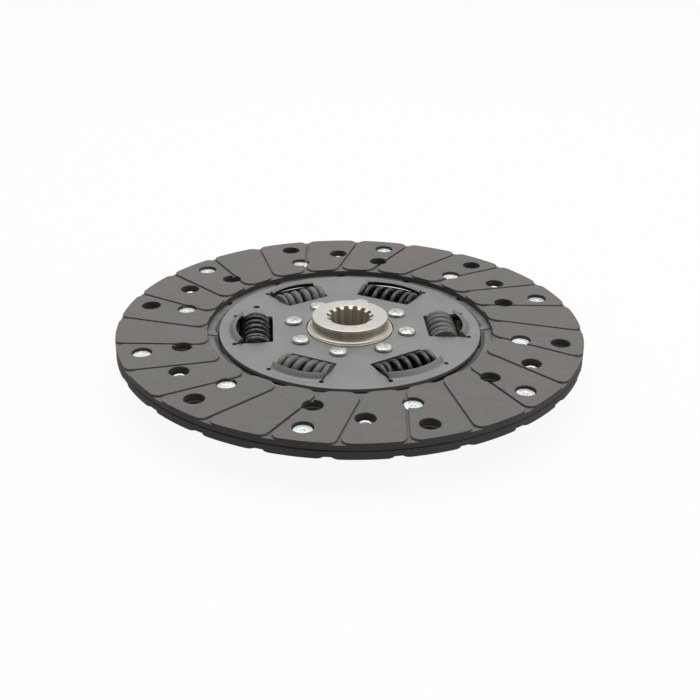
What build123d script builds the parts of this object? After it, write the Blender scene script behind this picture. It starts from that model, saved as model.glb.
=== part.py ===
from build123d import *
import math
import os

# Clutch disc with a torsional damper, in millimetres.
# The origin is on the spline's axis, midway between the two friction linings. +Z points to the side with
# the short end of the hub, and +X passes through the middle of a short spring window.
# The hub and its two retainer plates are one riveted unit. The drive plate, which carries the linings on
# waved cushion segments, turns a few degrees between those plates against six coil springs.

# Damper springs
spring_outer_r = 6.8
short_spring_wire = 3.4
short_spring_turns = 5.4
short_spring_closed_turns = 1.65  # closely wound at each end
short_spring_top = 0.5  # turns from the spring's middle to the nearest top of a coil
long_spring_wire = 2.3
long_spring_turns = 6.9
long_spring_closed_turns = 1.3
long_spring_top = 0.0
spring_wire_gap = 0.15  # between two closely wound turns
spring_end_play = 0.2
spring_inner_play = 0.3  # between a spring and the inner edge of its window
spring_outer_play = 0.9  # between a spring and the outer edge of its window in the drive plate
wire_sides = 8
chords_per_turn = 10

# Hub
hub_top_z = 7.5
hub_bottom_z = -17.5
hub_collar_r = 16.5
hub_collar_height = 1.8
hub_neck_depth = 0.4  # of the neck below the collar
hub_boss_width = 2.0  # radial, of the boss beyond the collar
hub_boss_rise = 0.3  # of the boss above the outer face of a retainer plate
hub_boss_fillet = 1.9
hub_end_chamfer = 0.8
hub_flange_r = 29.9
spline_count = 15
spline_minor_r = 8.7
spline_depth = 1.5
spline_slot_width = 2.3
spline_mouth_margin = 0.3  # of the mouth's cone beyond the slots
spline_mouth_depth = 1.0

# Hub rivets
hub_rivet_count = 8
hub_rivet_first_angle = 30.0
hub_rivet_setback = 4.9  # from the flange's edge to the rivets' axes
hub_rivet_shank_r = 2.75
hub_rivet_head_r = 3.85
hub_rivet_crown_r = 2.2
hub_rivet_rim_height = 0.7
hub_rivet_head_height = 1.7

# Damper stack
damper_drop = 2.6  # from the linings' mid-plane down to the drive plate's mid-plane
drive_plate_thickness = 2.0
drive_plate_setback = 0.8  # from the retainer plates' edge to the drive plate's edge
friction_space = 1.8  # between the drive plate and either retainer plate
retainer_thickness = 1.5
retainer_rim = 3.3  # width of plate beyond the crown of a window's fold
retainer_bore_play = 0.5  # radial, around the hub's boss

# Spring windows, short and long in turn
window_pairs = 3
window_inner_margin = 3.4  # from the hub flange to the windows' inner edges
window_flare = 4.5  # slope of a window's end edges
short_half_length = 10.5  # at the window's inner edge
long_half_length = 12.7
relief_hole_r = 1.1
relief_margin = 3.4  # from the drive plate's windows out to the ring of relief holes
fold_crown_margin = 1.5  # from that ring out to the crown of the fold
lip_rise = 2.7
lip_lean = 2.6
lip_end_gap = 0.3  # between either end of a lip and the window's end edge
index_hole_r = 1.5
index_hole_angle = 150.0
index_hole_setback = 9.6  # from the plates' edge

# Twist stops: lugs on the drive plate's bore, in notches of the hub flange
twist_limit = 5.0  # degrees to either side
stop_play = 0.3  # degrees left at the limit
stop_count = 4
lug_width = 4.0
lug_height = 2.4
lug_end_play = 0.4
bore_clearance = 0.08  # radial, between the drive plate's bore and the hub flange

# Friction rings and disc spring
ring_width = 2.7
ring_play = 0.3  # radial, between a ring and the hub flange
disc_spring_height = 0.8
disc_spring_thickness = 0.5

# Friction linings
lining_inner_margin = 5.2  # from the retainer plates' edge to the linings
lining_width = 38.5
lining_thickness = 3.1
lining_gap = 0.8  # height of the waved segments that part the two linings
lining_hole_r = 4.2
groove_count = 24
groove_width = 1.2
groove_depth = 1.0
groove_offset = 22.0  # every groove's centre line touches a circle of this radius
groove_direction = 10.5  # angle of the first groove's centre line
pad_inner_fillet = 5.0
pad_outer_fillet = 3.5

# Groups of five lining holes, one group on each land between two spring windows
group_count = 6
first_group_angle = 30.0
group_spread = 15.0  # angle from a group's middle hole to the holes on either side
outer_ring_setback = 9.7  # from the linings' outer edge to the outer ring of holes
middle_ring_setback = 18.0
inner_ring_setback = 12.1  # from the linings' inner edge to the inner ring of holes

# Lining rivets
lining_rivet_shank_r = 2.3
lining_rivet_head_thickness = 0.7
lining_rivet_head_depth = 1.2  # from the lining's face down to the top of the head
lining_rivet_head_play = 0.4  # between the head and the wall of its seat
lining_rivet_tail_r = 2.9
lining_rivet_tail_height = 1.1

# Cushion segments, of spring sheet
segment_thickness = 0.5
segment_rim_setback = 1.0  # from the linings' outer edge to the segments' rim
segment_parting = 1.0  # gap between two neighbours
segment_slot_width = 1.6
segment_slot_angle = 10.0
segment_slot_setback = 6.0  # from the linings' inner edge to the slot's end
segment_wave_setback = 4.0  # from the linings' inner edge to the wave
segment_wave_overlap = 1.0  # radial length over which the flat neck and the wave run into each other
segment_trough_half_width = 6.0  # of the middle trough, from the segment's centre line
segment_ramp = 7.0  # from a trough to a crest, across the segment
segment_crest_width = 16.0
segment_step_margin = 1.5  # from the drive plate's edge to the step up to the neck
segment_step_length = 2.0  # radial length of that step
segment_foot_width = 23.0
segment_foot_setback = 5.2  # from the drive plate's edge to the foot's inner end
locating_hole_r = 2.2
locating_hole_setback = 0.5  # of its centre behind the linings' inner edge
segment_hole_play = 0.3  # radial, between a lining's hole and the smaller rim of the segment behind it

# Rivets between the segments and the drive plate, two to a segment
segment_rivet_setback = 2.9  # from the drive plate's edge to the rivets' axes
segment_rivet_angle = 7.5
segment_rivet_shank_r = 1.6
segment_rivet_head_r = 2.5
segment_rivet_head_height = 0.8

# Radii that follow, from the inside out
spline_major_r = spline_minor_r + spline_depth
spline_mouth_r = spline_major_r + spline_mouth_margin
hub_neck_r = hub_collar_r - hub_neck_depth
hub_boss_r = hub_collar_r + hub_boss_width
retainer_bore_r = hub_boss_r + retainer_bore_play
hub_rivet_ring_r = hub_flange_r - hub_rivet_setback
window_inner_r = hub_flange_r + window_inner_margin
spring_ring_r = window_inner_r + spring_inner_play + spring_outer_r
drive_window_outer_r = spring_ring_r + spring_outer_r + spring_outer_play
relief_ring_r = drive_window_outer_r + relief_margin
fold_crown_r = relief_ring_r + fold_crown_margin
retainer_r = fold_crown_r + retainer_rim
index_hole_ring_r = retainer_r - index_hole_setback
drive_plate_r = retainer_r - drive_plate_setback
segment_rivet_ring_r = drive_plate_r - segment_rivet_setback
segment_step_r = drive_plate_r + segment_step_margin
segment_neck_r = segment_step_r + segment_step_length
lining_inner_r = retainer_r + lining_inner_margin
lining_outer_r = lining_inner_r + lining_width
outer_hole_ring_r = lining_outer_r - outer_ring_setback
middle_hole_ring_r = lining_outer_r - middle_ring_setback
inner_hole_ring_r = lining_inner_r + inner_ring_setback
locating_hole_ring_r = lining_inner_r + locating_hole_setback
segment_rim_r = lining_outer_r - segment_rim_setback

# Levels that follow from the stack
lining_face_z = lining_gap / 2 + lining_thickness
drive_top_z = -damper_drop + drive_plate_thickness / 2
drive_bottom_z = drive_top_z - drive_plate_thickness
flange_top_z = drive_top_z + friction_space
flange_bottom_z = drive_bottom_z - friction_space
retainer_top_z = flange_top_z + retainer_thickness
retainer_bottom_z = flange_bottom_z - retainer_thickness
foot_top_z = drive_top_z + segment_thickness
group_pitch = 360 / group_count
damper_mid_plane = Plane.XY.offset(-damper_drop)

os.makedirs("parts", exist_ok=True)


def polar(radius, angle):
    """A point of the XY plane, from its radius and its angle in degrees."""
    return radius * math.cos(math.radians(angle)), radius * math.sin(math.radians(angle))


def save(part, name):
    part.label = name
    export_step(part, f"parts/{name}.step")


# --- Friction linings ---


def groove_side(offset, reach, direction):
    """A point on a line parallel to a groove, where offset is its distance from the disc's centre."""
    along = Vector(*polar(1, direction))
    across = Vector(*polar(1, direction + 90))
    return along * reach + across * offset


def pad_outline():
    """The raised pad between two neighbouring grooves."""
    near_side = groove_offset + groove_width / 2
    far_side = groove_offset - groove_width / 2
    far_direction = groove_direction + 360 / groove_count
    inner_reach = math.sqrt(lining_inner_r**2 - groove_offset**2) * 0.9
    outer_reach = lining_outer_r * 1.1
    with BuildSketch() as pad:
        Circle(lining_outer_r)
        Circle(lining_inner_r, mode=Mode.SUBTRACT)
        with BuildLine():
            Polyline(
                groove_side(near_side, inner_reach, groove_direction),
                groove_side(near_side, outer_reach, groove_direction),
                groove_side(far_side, outer_reach, far_direction),
                groove_side(far_side, inner_reach, far_direction),
                close=True,
            )
        make_face(mode=Mode.INTERSECT)
        corners = pad.vertices().sort_by(lambda corner: math.hypot(corner.X, corner.Y))
        fillet(corners[:2], pad_inner_fillet)
        corners = pad.vertices().sort_by(lambda corner: math.hypot(corner.X, corner.Y))
        fillet(corners[-2:], pad_outer_fillet)
    return pad.sketch


# Ring radius and first angle of each of the five holes of a group
tall_left = (outer_hole_ring_r, first_group_angle - group_spread)
low_left = (inner_hole_ring_r, first_group_angle - group_spread)
middle = (middle_hole_ring_r, first_group_angle)
tall_right = (outer_hole_ring_r, first_group_angle + group_spread)
low_right = (inner_hole_ring_r, first_group_angle + group_spread)
upper_rivet_places = (tall_left, low_right)
lower_rivet_places = (middle,)
empty_places = (low_left, tall_right)


def friction_lining(seat_places, plain_places):
    """A lining that faces up. Rivet heads sit in seat_places, and plain_places are open to the segments."""
    pad = pad_outline()
    head_seat_z = lining_face_z - lining_rivet_head_depth - lining_rivet_head_thickness
    with BuildPart() as lining:
        with BuildSketch(Plane.XY.offset(lining_gap / 2)):
            Circle(lining_outer_r)
            Circle(lining_inner_r, mode=Mode.SUBTRACT)
            for ring_r, angle in plain_places:
                with PolarLocations(ring_r, group_count, start_angle=angle):
                    Circle(lining_hole_r, mode=Mode.SUBTRACT)
            for ring_r, angle in seat_places:
                with PolarLocations(ring_r, group_count, start_angle=angle):
                    Circle(lining_rivet_shank_r, mode=Mode.SUBTRACT)
        extrude(amount=lining_thickness - groove_depth)
        with BuildSketch(Plane.XY.offset(lining_face_z - groove_depth)):
            with PolarLocations(0, groove_count):
                add(pad)
            for ring_r, angle in plain_places:
                with PolarLocations(ring_r, group_count, start_angle=angle):
                    Circle(lining_hole_r, mode=Mode.SUBTRACT)
        extrude(amount=groove_depth)
        with BuildSketch(Plane.XY.offset(head_seat_z)):
            for ring_r, angle in seat_places:
                with PolarLocations(ring_r, group_count, start_angle=angle):
                    Circle(lining_hole_r)
        extrude(amount=lining_thickness, mode=Mode.SUBTRACT)
    return lining.part


upper_lining = friction_lining(upper_rivet_places, lower_rivet_places + empty_places)
save(upper_lining, "friction_lining_upper")

# The lower lining is turned over about the X axis. The hole groups look the same from both sides.
turned_over = (180, 0, 0)
with BuildPart() as friction_lining_lower:
    add(friction_lining(lower_rivet_places, upper_rivet_places + empty_places), rotation=turned_over)
save(friction_lining_lower.part, "friction_lining_lower")

# --- Lining rivets ---

rivet_head_top_z = lining_face_z - lining_rivet_head_depth
rivet_head_seat_z = rivet_head_top_z - lining_rivet_head_thickness
rivet_tail_seat_z = lining_gap / 2 - segment_thickness
rivet_tail_end_z = rivet_tail_seat_z - lining_rivet_tail_height
rivet_head_r = lining_hole_r - lining_rivet_head_play

with BuildPart() as lining_rivet:
    with BuildSketch(Plane.XZ):
        with BuildLine():
            Polyline(
                (0, rivet_head_top_z),
                (rivet_head_r, rivet_head_top_z),
                (rivet_head_r, rivet_head_seat_z),
                (lining_rivet_shank_r, rivet_head_seat_z),
                (lining_rivet_shank_r, rivet_tail_seat_z),
                (lining_rivet_tail_r, rivet_tail_seat_z),
                (lining_rivet_tail_r, rivet_tail_end_z),
                (0, rivet_tail_end_z),
                close=True,
            )
        make_face()
    revolve(axis=Axis.Z)

with BuildPart() as lining_rivets_upper:
    for ring_r, angle in upper_rivet_places:
        with PolarLocations(ring_r, group_count, start_angle=angle):
            add(lining_rivet.part)
save(lining_rivets_upper.part, "lining_rivets_upper")

with BuildPart() as lining_rivets_lower:
    for ring_r, angle in lower_rivet_places:
        with PolarLocations(ring_r, group_count, start_angle=angle):
            add(lining_rivet.part, rotation=turned_over)
save(lining_rivets_lower.part, "lining_rivets_lower")

# --- Cushion segments ---


def wedge(half_angle, setback):
    """A wedge about +X whose sides are parallel to the rays at half_angle and set back from them."""
    apex = setback / math.sin(math.radians(half_angle))
    reach_x, reach_y = polar(2 * lining_outer_r, half_angle)
    with BuildSketch() as outline:
        with BuildLine():
            Polyline((apex, 0), (apex + reach_x, -reach_y), (apex + reach_x, reach_y), close=True)
        make_face()
    return outline.sketch


def wave_edge(lift):
    """One side of the waved sheet, across the segment: a middle trough, two crests and two end troughs."""
    swing = (lining_gap - segment_thickness) / 2
    crest_start = segment_trough_half_width + segment_ramp
    crest_end = crest_start + segment_crest_width
    right_half = [
        (segment_trough_half_width, -swing + lift),
        (crest_start, swing + lift),
        (crest_end, swing + lift),
        (crest_end + segment_ramp, -swing + lift),
        (lining_outer_r, -swing + lift),
    ]
    return [(-y, z) for y, z in reversed(right_half)] + right_half


wave_start_r = lining_inner_r + segment_wave_setback
slot_start_r = lining_inner_r + segment_slot_setback
slot_length = lining_outer_r - slot_start_r
half_sheet = segment_thickness / 2

with BuildPart() as waved_paddles:
    with BuildSketch(Plane.YZ):
        with BuildLine():
            Polyline(*wave_edge(-half_sheet), *reversed(wave_edge(half_sheet)), close=True)
        make_face()
    extrude(amount=lining_outer_r)
    with BuildSketch(Plane.XY.offset(-lining_thickness)):
        Circle(segment_rim_r)
        Circle(wave_start_r - segment_wave_overlap, mode=Mode.SUBTRACT)
        add(wedge(group_pitch / 2, segment_parting / 2), mode=Mode.INTERSECT)
        for angle in (-segment_slot_angle, segment_slot_angle):
            with PolarLocations(slot_start_r + slot_length / 2, 1, start_angle=angle):
                SlotOverall(slot_length, segment_slot_width, mode=Mode.SUBTRACT)
        for ring_r, angle in upper_rivet_places + lower_rivet_places:
            with PolarLocations(ring_r, 1, start_angle=angle - first_group_angle):
                Circle(lining_rivet_shank_r, mode=Mode.SUBTRACT)
        for ring_r, angle in empty_places:
            with PolarLocations(ring_r, 1, start_angle=angle - first_group_angle):
                Circle(lining_hole_r - segment_hole_play, mode=Mode.SUBTRACT)
    extrude(amount=2 * lining_thickness, mode=Mode.INTERSECT)

with BuildPart() as cushion_segment:
    with BuildSketch(Plane.XZ):
        with BuildLine():
            Polyline(
                (drive_plate_r - segment_foot_setback, drive_top_z),
                (segment_step_r, drive_top_z),
                (segment_neck_r, -half_sheet),
                (wave_start_r, -half_sheet),
                (wave_start_r, half_sheet),
                (segment_neck_r, half_sheet),
                (segment_step_r, foot_top_z),
                (drive_plate_r - segment_foot_setback, foot_top_z),
                close=True,
            )
        make_face()
    revolve(axis=Axis.Z)
    with BuildSketch(Plane.XY.offset(-lining_thickness)):
        Circle(wave_start_r)
        Circle(segment_step_r, mode=Mode.SUBTRACT)
        add(wedge(group_pitch / 2, segment_parting / 2), mode=Mode.INTERSECT)
        with Locations((drive_plate_r, 0)):
            Rectangle(2 * segment_foot_setback, segment_foot_width)
        with Locations((locating_hole_ring_r, 0)):
            Circle(locating_hole_r, mode=Mode.SUBTRACT)
        for angle in (-segment_rivet_angle, segment_rivet_angle):
            with PolarLocations(segment_rivet_ring_r, 1, start_angle=angle):
                Circle(segment_rivet_shank_r, mode=Mode.SUBTRACT)
    extrude(amount=2 * lining_thickness, mode=Mode.INTERSECT)
    add(waved_paddles.part)

for number in range(group_count):
    turn = first_group_angle + number * group_pitch
    with BuildPart() as placed_segment:
        add(cushion_segment.part, rotation=(0, 0, turn))
    save(placed_segment.part, f"cushion_segment_{number + 1}")

with BuildPart() as segment_rivet:
    with BuildSketch(Plane.XY.offset(foot_top_z)):
        Circle(segment_rivet_head_r)
    extrude(amount=segment_rivet_head_height)
    with BuildSketch(Plane.XY.offset(foot_top_z)):
        Circle(segment_rivet_shank_r)
    extrude(amount=-(segment_thickness + drive_plate_thickness))
    with BuildSketch(Plane.XY.offset(drive_bottom_z)):
        Circle(segment_rivet_head_r)
    extrude(amount=-segment_rivet_head_height)

with BuildPart() as segment_rivets:
    for angle in (-segment_rivet_angle, segment_rivet_angle):
        with PolarLocations(segment_rivet_ring_r, group_count, start_angle=first_group_angle + angle):
            add(segment_rivet.part)
save(segment_rivets.part, "segment_rivets")

# --- Spring windows ---

window_pitch = 360 / window_pairs
short_window_angles = [number * window_pitch for number in range(window_pairs)]
long_window_angles = [(number + 0.5) * window_pitch for number in range(window_pairs)]
windows = [(angle, short_half_length) for angle in short_window_angles]
windows += [(angle, long_half_length) for angle in long_window_angles]


def end_edge_height(half_length, x):
    """Half of a window's length at the distance x from the disc's centre, along the window's axis."""
    return half_length + (x - window_inner_r) * math.tan(math.radians(window_flare))


def relief_point(half_length):
    """Where a window's end edge meets the ring of relief holes, for a window on +X."""
    slope = math.tan(math.radians(window_flare))
    start = half_length - window_inner_r * slope
    square, cross, rest = 1 + slope**2, slope * start, start**2 - relief_ring_r**2
    x = (math.sqrt(cross**2 - square * rest) - cross) / square
    return x, end_edge_height(half_length, x)


def window_outline(half_length, outer_x, crown_x):
    """A window on +X, with an arched outer edge where crown_x is further out than outer_x."""
    outer_y = end_edge_height(half_length, outer_x)
    with BuildSketch() as outline:
        with BuildLine():
            Polyline(
                (outer_x, outer_y),
                (window_inner_r, half_length),
                (window_inner_r, -half_length),
                (outer_x, -outer_y),
            )
            if crown_x > outer_x:
                ThreePointArc((outer_x, -outer_y), (crown_x, 0), (outer_x, outer_y))
            else:
                Line((outer_x, -outer_y), (outer_x, outer_y))
        make_face()
    return outline.sketch


# --- Drive plate ---

drive_bore_r = hub_flange_r + bore_clearance
lug_inner_r = drive_bore_r - lug_height
stop_first_angle = hub_rivet_first_angle + 180 / hub_rivet_count

with BuildPart() as drive_plate:
    with BuildSketch(Plane.XY.offset(drive_bottom_z)):
        Circle(drive_plate_r)
        Circle(drive_bore_r, mode=Mode.SUBTRACT)
        with PolarLocations(lug_inner_r + lug_height, stop_count, start_angle=stop_first_angle):
            Rectangle(2 * lug_height, lug_width)
        for angle, half_length in windows:
            with PolarLocations(0, 1, start_angle=angle):
                outline = window_outline(half_length, drive_window_outer_r, drive_window_outer_r)
                add(outline, mode=Mode.SUBTRACT)
        for angle in (-segment_rivet_angle, segment_rivet_angle):
            with PolarLocations(segment_rivet_ring_r, group_count, start_angle=first_group_angle + angle):
                Circle(segment_rivet_shank_r, mode=Mode.SUBTRACT)
    extrude(amount=drive_plate_thickness)
save(drive_plate.part, "drive_plate")

# --- Retainer plates ---


def guide_lip(half_length):
    """The lip folded up and inwards along a window's outer edge, from one end edge to the other."""
    relief_x, relief_y = relief_point(half_length)
    arch = fold_crown_r - relief_x
    fold_r = (relief_y**2 + arch**2) / (2 * arch)
    centre_x = fold_crown_r - fold_r
    half_angle = math.degrees(math.asin(relief_y / (fold_r - lip_lean - retainer_thickness)))
    slant = math.hypot(lip_lean, lip_rise)
    inward = (-lip_rise / slant * retainer_thickness, -lip_lean / slant * retainer_thickness)
    crest = (fold_r - lip_lean, retainer_top_z + lip_rise)
    inner_crest = (crest[0] + inward[0], crest[1] + inward[1])
    fall = inner_crest[1] - flange_top_z
    with BuildPart() as lip:
        start = Plane(
            origin=(centre_x, 0, 0),
            x_dir=(*polar(1, -half_angle), 0),
            z_dir=(*polar(1, -half_angle - 90), 0),
        )
        with BuildSketch(start):
            with BuildLine():
                Polyline(
                    (fold_r, flange_top_z),
                    (fold_r, retainer_top_z),
                    crest,
                    inner_crest,
                    (inner_crest[0] + fall * lip_lean / lip_rise, flange_top_z),
                    close=True,
                )
            make_face()
        revolve(axis=Axis((centre_x, 0, 0), (0, 0, 1)), revolution_arc=2 * half_angle)
        with BuildSketch(Plane.XY.offset(flange_top_z)):
            add(window_outline(half_length - lip_end_gap, retainer_r, retainer_r))
        extrude(amount=retainer_thickness + lip_rise, mode=Mode.INTERSECT)
    return lip.part


with BuildPart() as retainer_plate_upper:
    with BuildSketch(Plane.XY.offset(flange_top_z)):
        Circle(retainer_r)
        Circle(retainer_bore_r, mode=Mode.SUBTRACT)
        for angle, half_length in windows:
            relief_x = relief_point(half_length)[0]
            with PolarLocations(0, 1, start_angle=angle):
                add(window_outline(half_length, relief_x, fold_crown_r), mode=Mode.SUBTRACT)
        with PolarLocations(hub_rivet_ring_r, hub_rivet_count, start_angle=hub_rivet_first_angle):
            Circle(hub_rivet_shank_r, mode=Mode.SUBTRACT)
        with PolarLocations(index_hole_ring_r, 1, start_angle=index_hole_angle):
            Circle(index_hole_r, mode=Mode.SUBTRACT)
    extrude(amount=retainer_thickness)
    for angle, half_length in windows:
        with PolarLocations(0, 1, start_angle=angle):
            add(guide_lip(half_length))
    with BuildSketch(Plane.XY.offset(flange_top_z)):
        for angle, half_length in windows:
            relief_x, relief_y = relief_point(half_length)
            with PolarLocations(0, 1, start_angle=angle):
                with Locations((relief_x, relief_y), (relief_x, -relief_y)):
                    Circle(relief_hole_r)
    extrude(amount=retainer_thickness, mode=Mode.SUBTRACT)
save(retainer_plate_upper.part, "retainer_plate_upper")

with BuildPart() as retainer_plate_lower:
    mirror(retainer_plate_upper.part, about=damper_mid_plane)
save(retainer_plate_lower.part, "retainer_plate_lower")

# --- Hub ---

boss_top_z = retainer_top_z + hub_boss_rise
boss_bottom_z = retainer_bottom_z - hub_boss_rise
notch_floor_r = lug_inner_r - lug_end_play
notch_reach_r = hub_flange_r + lug_height


def notch_corner(radius, side):
    """A corner of a stop notch on +X: the lug's own flank, turned on to the stop."""
    flank = math.degrees(math.asin(lug_width / 2 / radius))
    return polar(radius, side * (flank + twist_limit + stop_play))


with BuildPart() as hub:
    with BuildSketch(Plane.XZ):
        with BuildLine():
            Polyline(
                (spline_minor_r, hub_top_z),
                (hub_collar_r, hub_top_z),
                (hub_collar_r, hub_top_z - hub_collar_height),
                (hub_neck_r, hub_top_z - hub_collar_height - (hub_collar_r - hub_neck_r)),
                (hub_neck_r, boss_top_z),
                (hub_boss_r, boss_top_z),
                (hub_boss_r, flange_top_z),
                (hub_flange_r, flange_top_z),
                (hub_flange_r, flange_bottom_z),
                (hub_boss_r, flange_bottom_z),
                (hub_boss_r, boss_bottom_z),
                (hub_collar_r, boss_bottom_z),
                (hub_collar_r, hub_bottom_z),
                (spline_minor_r, hub_bottom_z),
                close=True,
            )
        make_face()
    revolve(axis=Axis.Z)
    circles = hub.edges().filter_by(GeomType.CIRCLE).group_by(Axis.Z)
    chamfer([circles[0].sort_by(SortBy.RADIUS)[-1], circles[-1].sort_by(SortBy.RADIUS)[-1]], hub_end_chamfer)
    circles = hub.edges().filter_by(GeomType.CIRCLE)
    upper_root = circles.filter_by_position(Axis.Z, boss_top_z, boss_top_z).sort_by(SortBy.RADIUS)[0]
    lower_root = circles.filter_by_position(Axis.Z, boss_bottom_z, boss_bottom_z).sort_by(SortBy.RADIUS)[0]
    fillet([upper_root, lower_root], hub_boss_fillet)
    with BuildSketch(Plane.XY.offset(hub_bottom_z)):
        Circle(spline_major_r)
        with PolarLocations(spline_minor_r, spline_count):
            Rectangle(2 * spline_minor_r, spline_slot_width, mode=Mode.INTERSECT)
    extrude(amount=hub_top_z - hub_bottom_z, mode=Mode.SUBTRACT)
    for end_z, inward in ((hub_top_z, -1), (hub_bottom_z, 1)):
        with BuildSketch(Plane.XZ):
            with BuildLine():
                Polyline(
                    (0, end_z),
                    (spline_mouth_r, end_z),
                    (spline_minor_r, end_z + inward * spline_mouth_depth),
                    (0, end_z + inward * spline_mouth_depth),
                    close=True,
                )
            make_face()
        revolve(axis=Axis.Z, mode=Mode.SUBTRACT)
    with BuildSketch(Plane.XY.offset(flange_bottom_z)):
        with PolarLocations(hub_rivet_ring_r, hub_rivet_count, start_angle=hub_rivet_first_angle):
            Circle(hub_rivet_shank_r)
        with PolarLocations(0, stop_count, start_angle=stop_first_angle):
            Polygon(
                notch_corner(notch_floor_r, -1),
                notch_corner(notch_reach_r, -1),
                notch_corner(notch_reach_r, 1),
                notch_corner(notch_floor_r, 1),
                align=None,
            )
    extrude(amount=flange_top_z - flange_bottom_z, mode=Mode.SUBTRACT)
save(hub.part, "hub")

# --- Hub rivets, through the flange and both retainer plates ---

with BuildPart() as hub_rivet_half:
    with BuildSketch(Plane.XZ):
        with BuildLine():
            Polyline(
                (0, retainer_top_z + hub_rivet_head_height),
                (hub_rivet_crown_r, retainer_top_z + hub_rivet_head_height),
                (hub_rivet_head_r, retainer_top_z + hub_rivet_rim_height),
                (hub_rivet_head_r, retainer_top_z),
                (hub_rivet_shank_r, retainer_top_z),
                (hub_rivet_shank_r, -damper_drop),
                (0, -damper_drop),
                close=True,
            )
        make_face()
    revolve(axis=Axis.Z)

with BuildPart() as hub_rivets:
    with PolarLocations(hub_rivet_ring_r, hub_rivet_count, start_angle=hub_rivet_first_angle):
        add(hub_rivet_half.part)
    mirror(about=damper_mid_plane)
save(hub_rivets.part, "hub_rivets")

# --- Friction rings and disc spring ---

ring_inner_r = hub_flange_r + ring_play
ring_outer_r = ring_inner_r + ring_width

with BuildPart() as friction_ring_upper:
    with BuildSketch(Plane.XY.offset(drive_top_z)):
        Circle(ring_outer_r)
        Circle(ring_inner_r, mode=Mode.SUBTRACT)
    extrude(amount=friction_space)
save(friction_ring_upper.part, "friction_ring_upper")

with BuildPart() as friction_ring_lower:
    with BuildSketch(Plane.XY.offset(drive_bottom_z)):
        Circle(ring_outer_r)
        Circle(ring_inner_r, mode=Mode.SUBTRACT)
    extrude(amount=-(friction_space - disc_spring_height))
save(friction_ring_lower.part, "friction_ring_lower")

with BuildPart() as disc_spring:
    with BuildSketch(Plane.XZ):
        with BuildLine():
            Polyline(
                (ring_inner_r, flange_bottom_z),
                (ring_outer_r, flange_bottom_z + disc_spring_height - disc_spring_thickness),
                (ring_outer_r, flange_bottom_z + disc_spring_height),
                (ring_inner_r, flange_bottom_z + disc_spring_thickness),
                close=True,
            )
        make_face()
    revolve(axis=Axis.Z)
save(disc_spring.part, "disc_spring")

# --- Damper springs ---


def spring_advance(wound, turns, closed_turns, closed_pitch, length):
    """How far along its axis the wire has come after so many turns from the spring's middle."""
    open_turns = turns - 2 * closed_turns
    open_pitch = (length - 2 * closed_turns * closed_pitch) / open_turns
    in_open = max(-open_turns / 2, min(open_turns / 2, wound))
    return in_open * open_pitch + (wound - in_open) * closed_pitch


def damper_spring(window_half_length, wire, turns, closed_turns, top):
    """A coil spring whose ends are ground flat, to half the wire, along its window's end edges."""
    half_length = end_edge_height(window_half_length, spring_ring_r) - spring_end_play
    path_r = spring_outer_r - wire / 2
    chords = round(chords_per_turn * turns)
    points = []
    for chord in range(chords + 1):
        wound = turns * (chord / chords - 0.5)
        upward, outward = polar(path_r, 360 * (top - wound))
        along = spring_advance(wound, turns, closed_turns, wire + spring_wire_gap, 2 * half_length)
        splay = 1 + outward * math.tan(math.radians(window_flare)) / half_length
        points.append((spring_ring_r + outward, along * splay, upward - damper_drop))
    with BuildPart() as spring:
        with BuildLine() as path:
            Polyline(*points)
        with BuildSketch(Plane(origin=path.line @ 0, z_dir=path.line % 0)):
            RegularPolygon(wire / 2, wire_sides)
        sweep(transition=Transition.RIGHT)
        with BuildSketch(Plane.XY.offset(-damper_drop - spring_outer_r)):
            add(window_outline(window_half_length - spring_end_play, retainer_r, retainer_r))
        extrude(amount=2 * spring_outer_r, mode=Mode.INTERSECT)
    return spring.part


short_spring = damper_spring(
    short_half_length, short_spring_wire, short_spring_turns, short_spring_closed_turns, short_spring_top
)
long_spring = damper_spring(
    long_half_length, long_spring_wire, long_spring_turns, long_spring_closed_turns, long_spring_top
)

for number in range(window_pairs):
    with BuildPart() as placed_spring:
        add(short_spring, rotation=(0, 0, short_window_angles[number]))
    save(placed_spring.part, f"damper_spring_short_{number + 1}")
    with BuildPart() as placed_spring:
        add(long_spring, rotation=(0, 0, long_window_angles[number]))
    save(placed_spring.part, f"damper_spring_long_{number + 1}")
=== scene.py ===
import math

import bmesh
import bpy
from mathutils import Matrix, Vector
from mathutils.geometry import delaunay_2d_cdt


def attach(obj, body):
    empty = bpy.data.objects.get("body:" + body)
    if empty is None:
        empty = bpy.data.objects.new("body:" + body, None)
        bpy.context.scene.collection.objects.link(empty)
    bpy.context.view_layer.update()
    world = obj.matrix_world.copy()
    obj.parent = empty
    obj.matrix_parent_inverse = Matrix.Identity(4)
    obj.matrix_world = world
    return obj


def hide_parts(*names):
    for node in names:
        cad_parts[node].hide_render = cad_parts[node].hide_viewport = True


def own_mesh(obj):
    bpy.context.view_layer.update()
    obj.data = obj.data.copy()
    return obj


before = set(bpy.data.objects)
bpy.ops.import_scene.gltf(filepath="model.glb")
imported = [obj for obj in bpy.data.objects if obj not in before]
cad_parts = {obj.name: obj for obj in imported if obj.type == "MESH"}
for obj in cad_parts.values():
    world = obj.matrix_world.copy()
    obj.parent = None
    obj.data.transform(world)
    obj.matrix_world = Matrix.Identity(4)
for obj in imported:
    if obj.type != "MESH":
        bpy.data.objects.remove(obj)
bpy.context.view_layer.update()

# A clutch disc with a torsional damper. Sizes are in millimetres and angles in degrees.
# The origin is on the spline's axis, midway between the linings, and +Z points to the short end of the hub.
MM = 0.001

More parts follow.
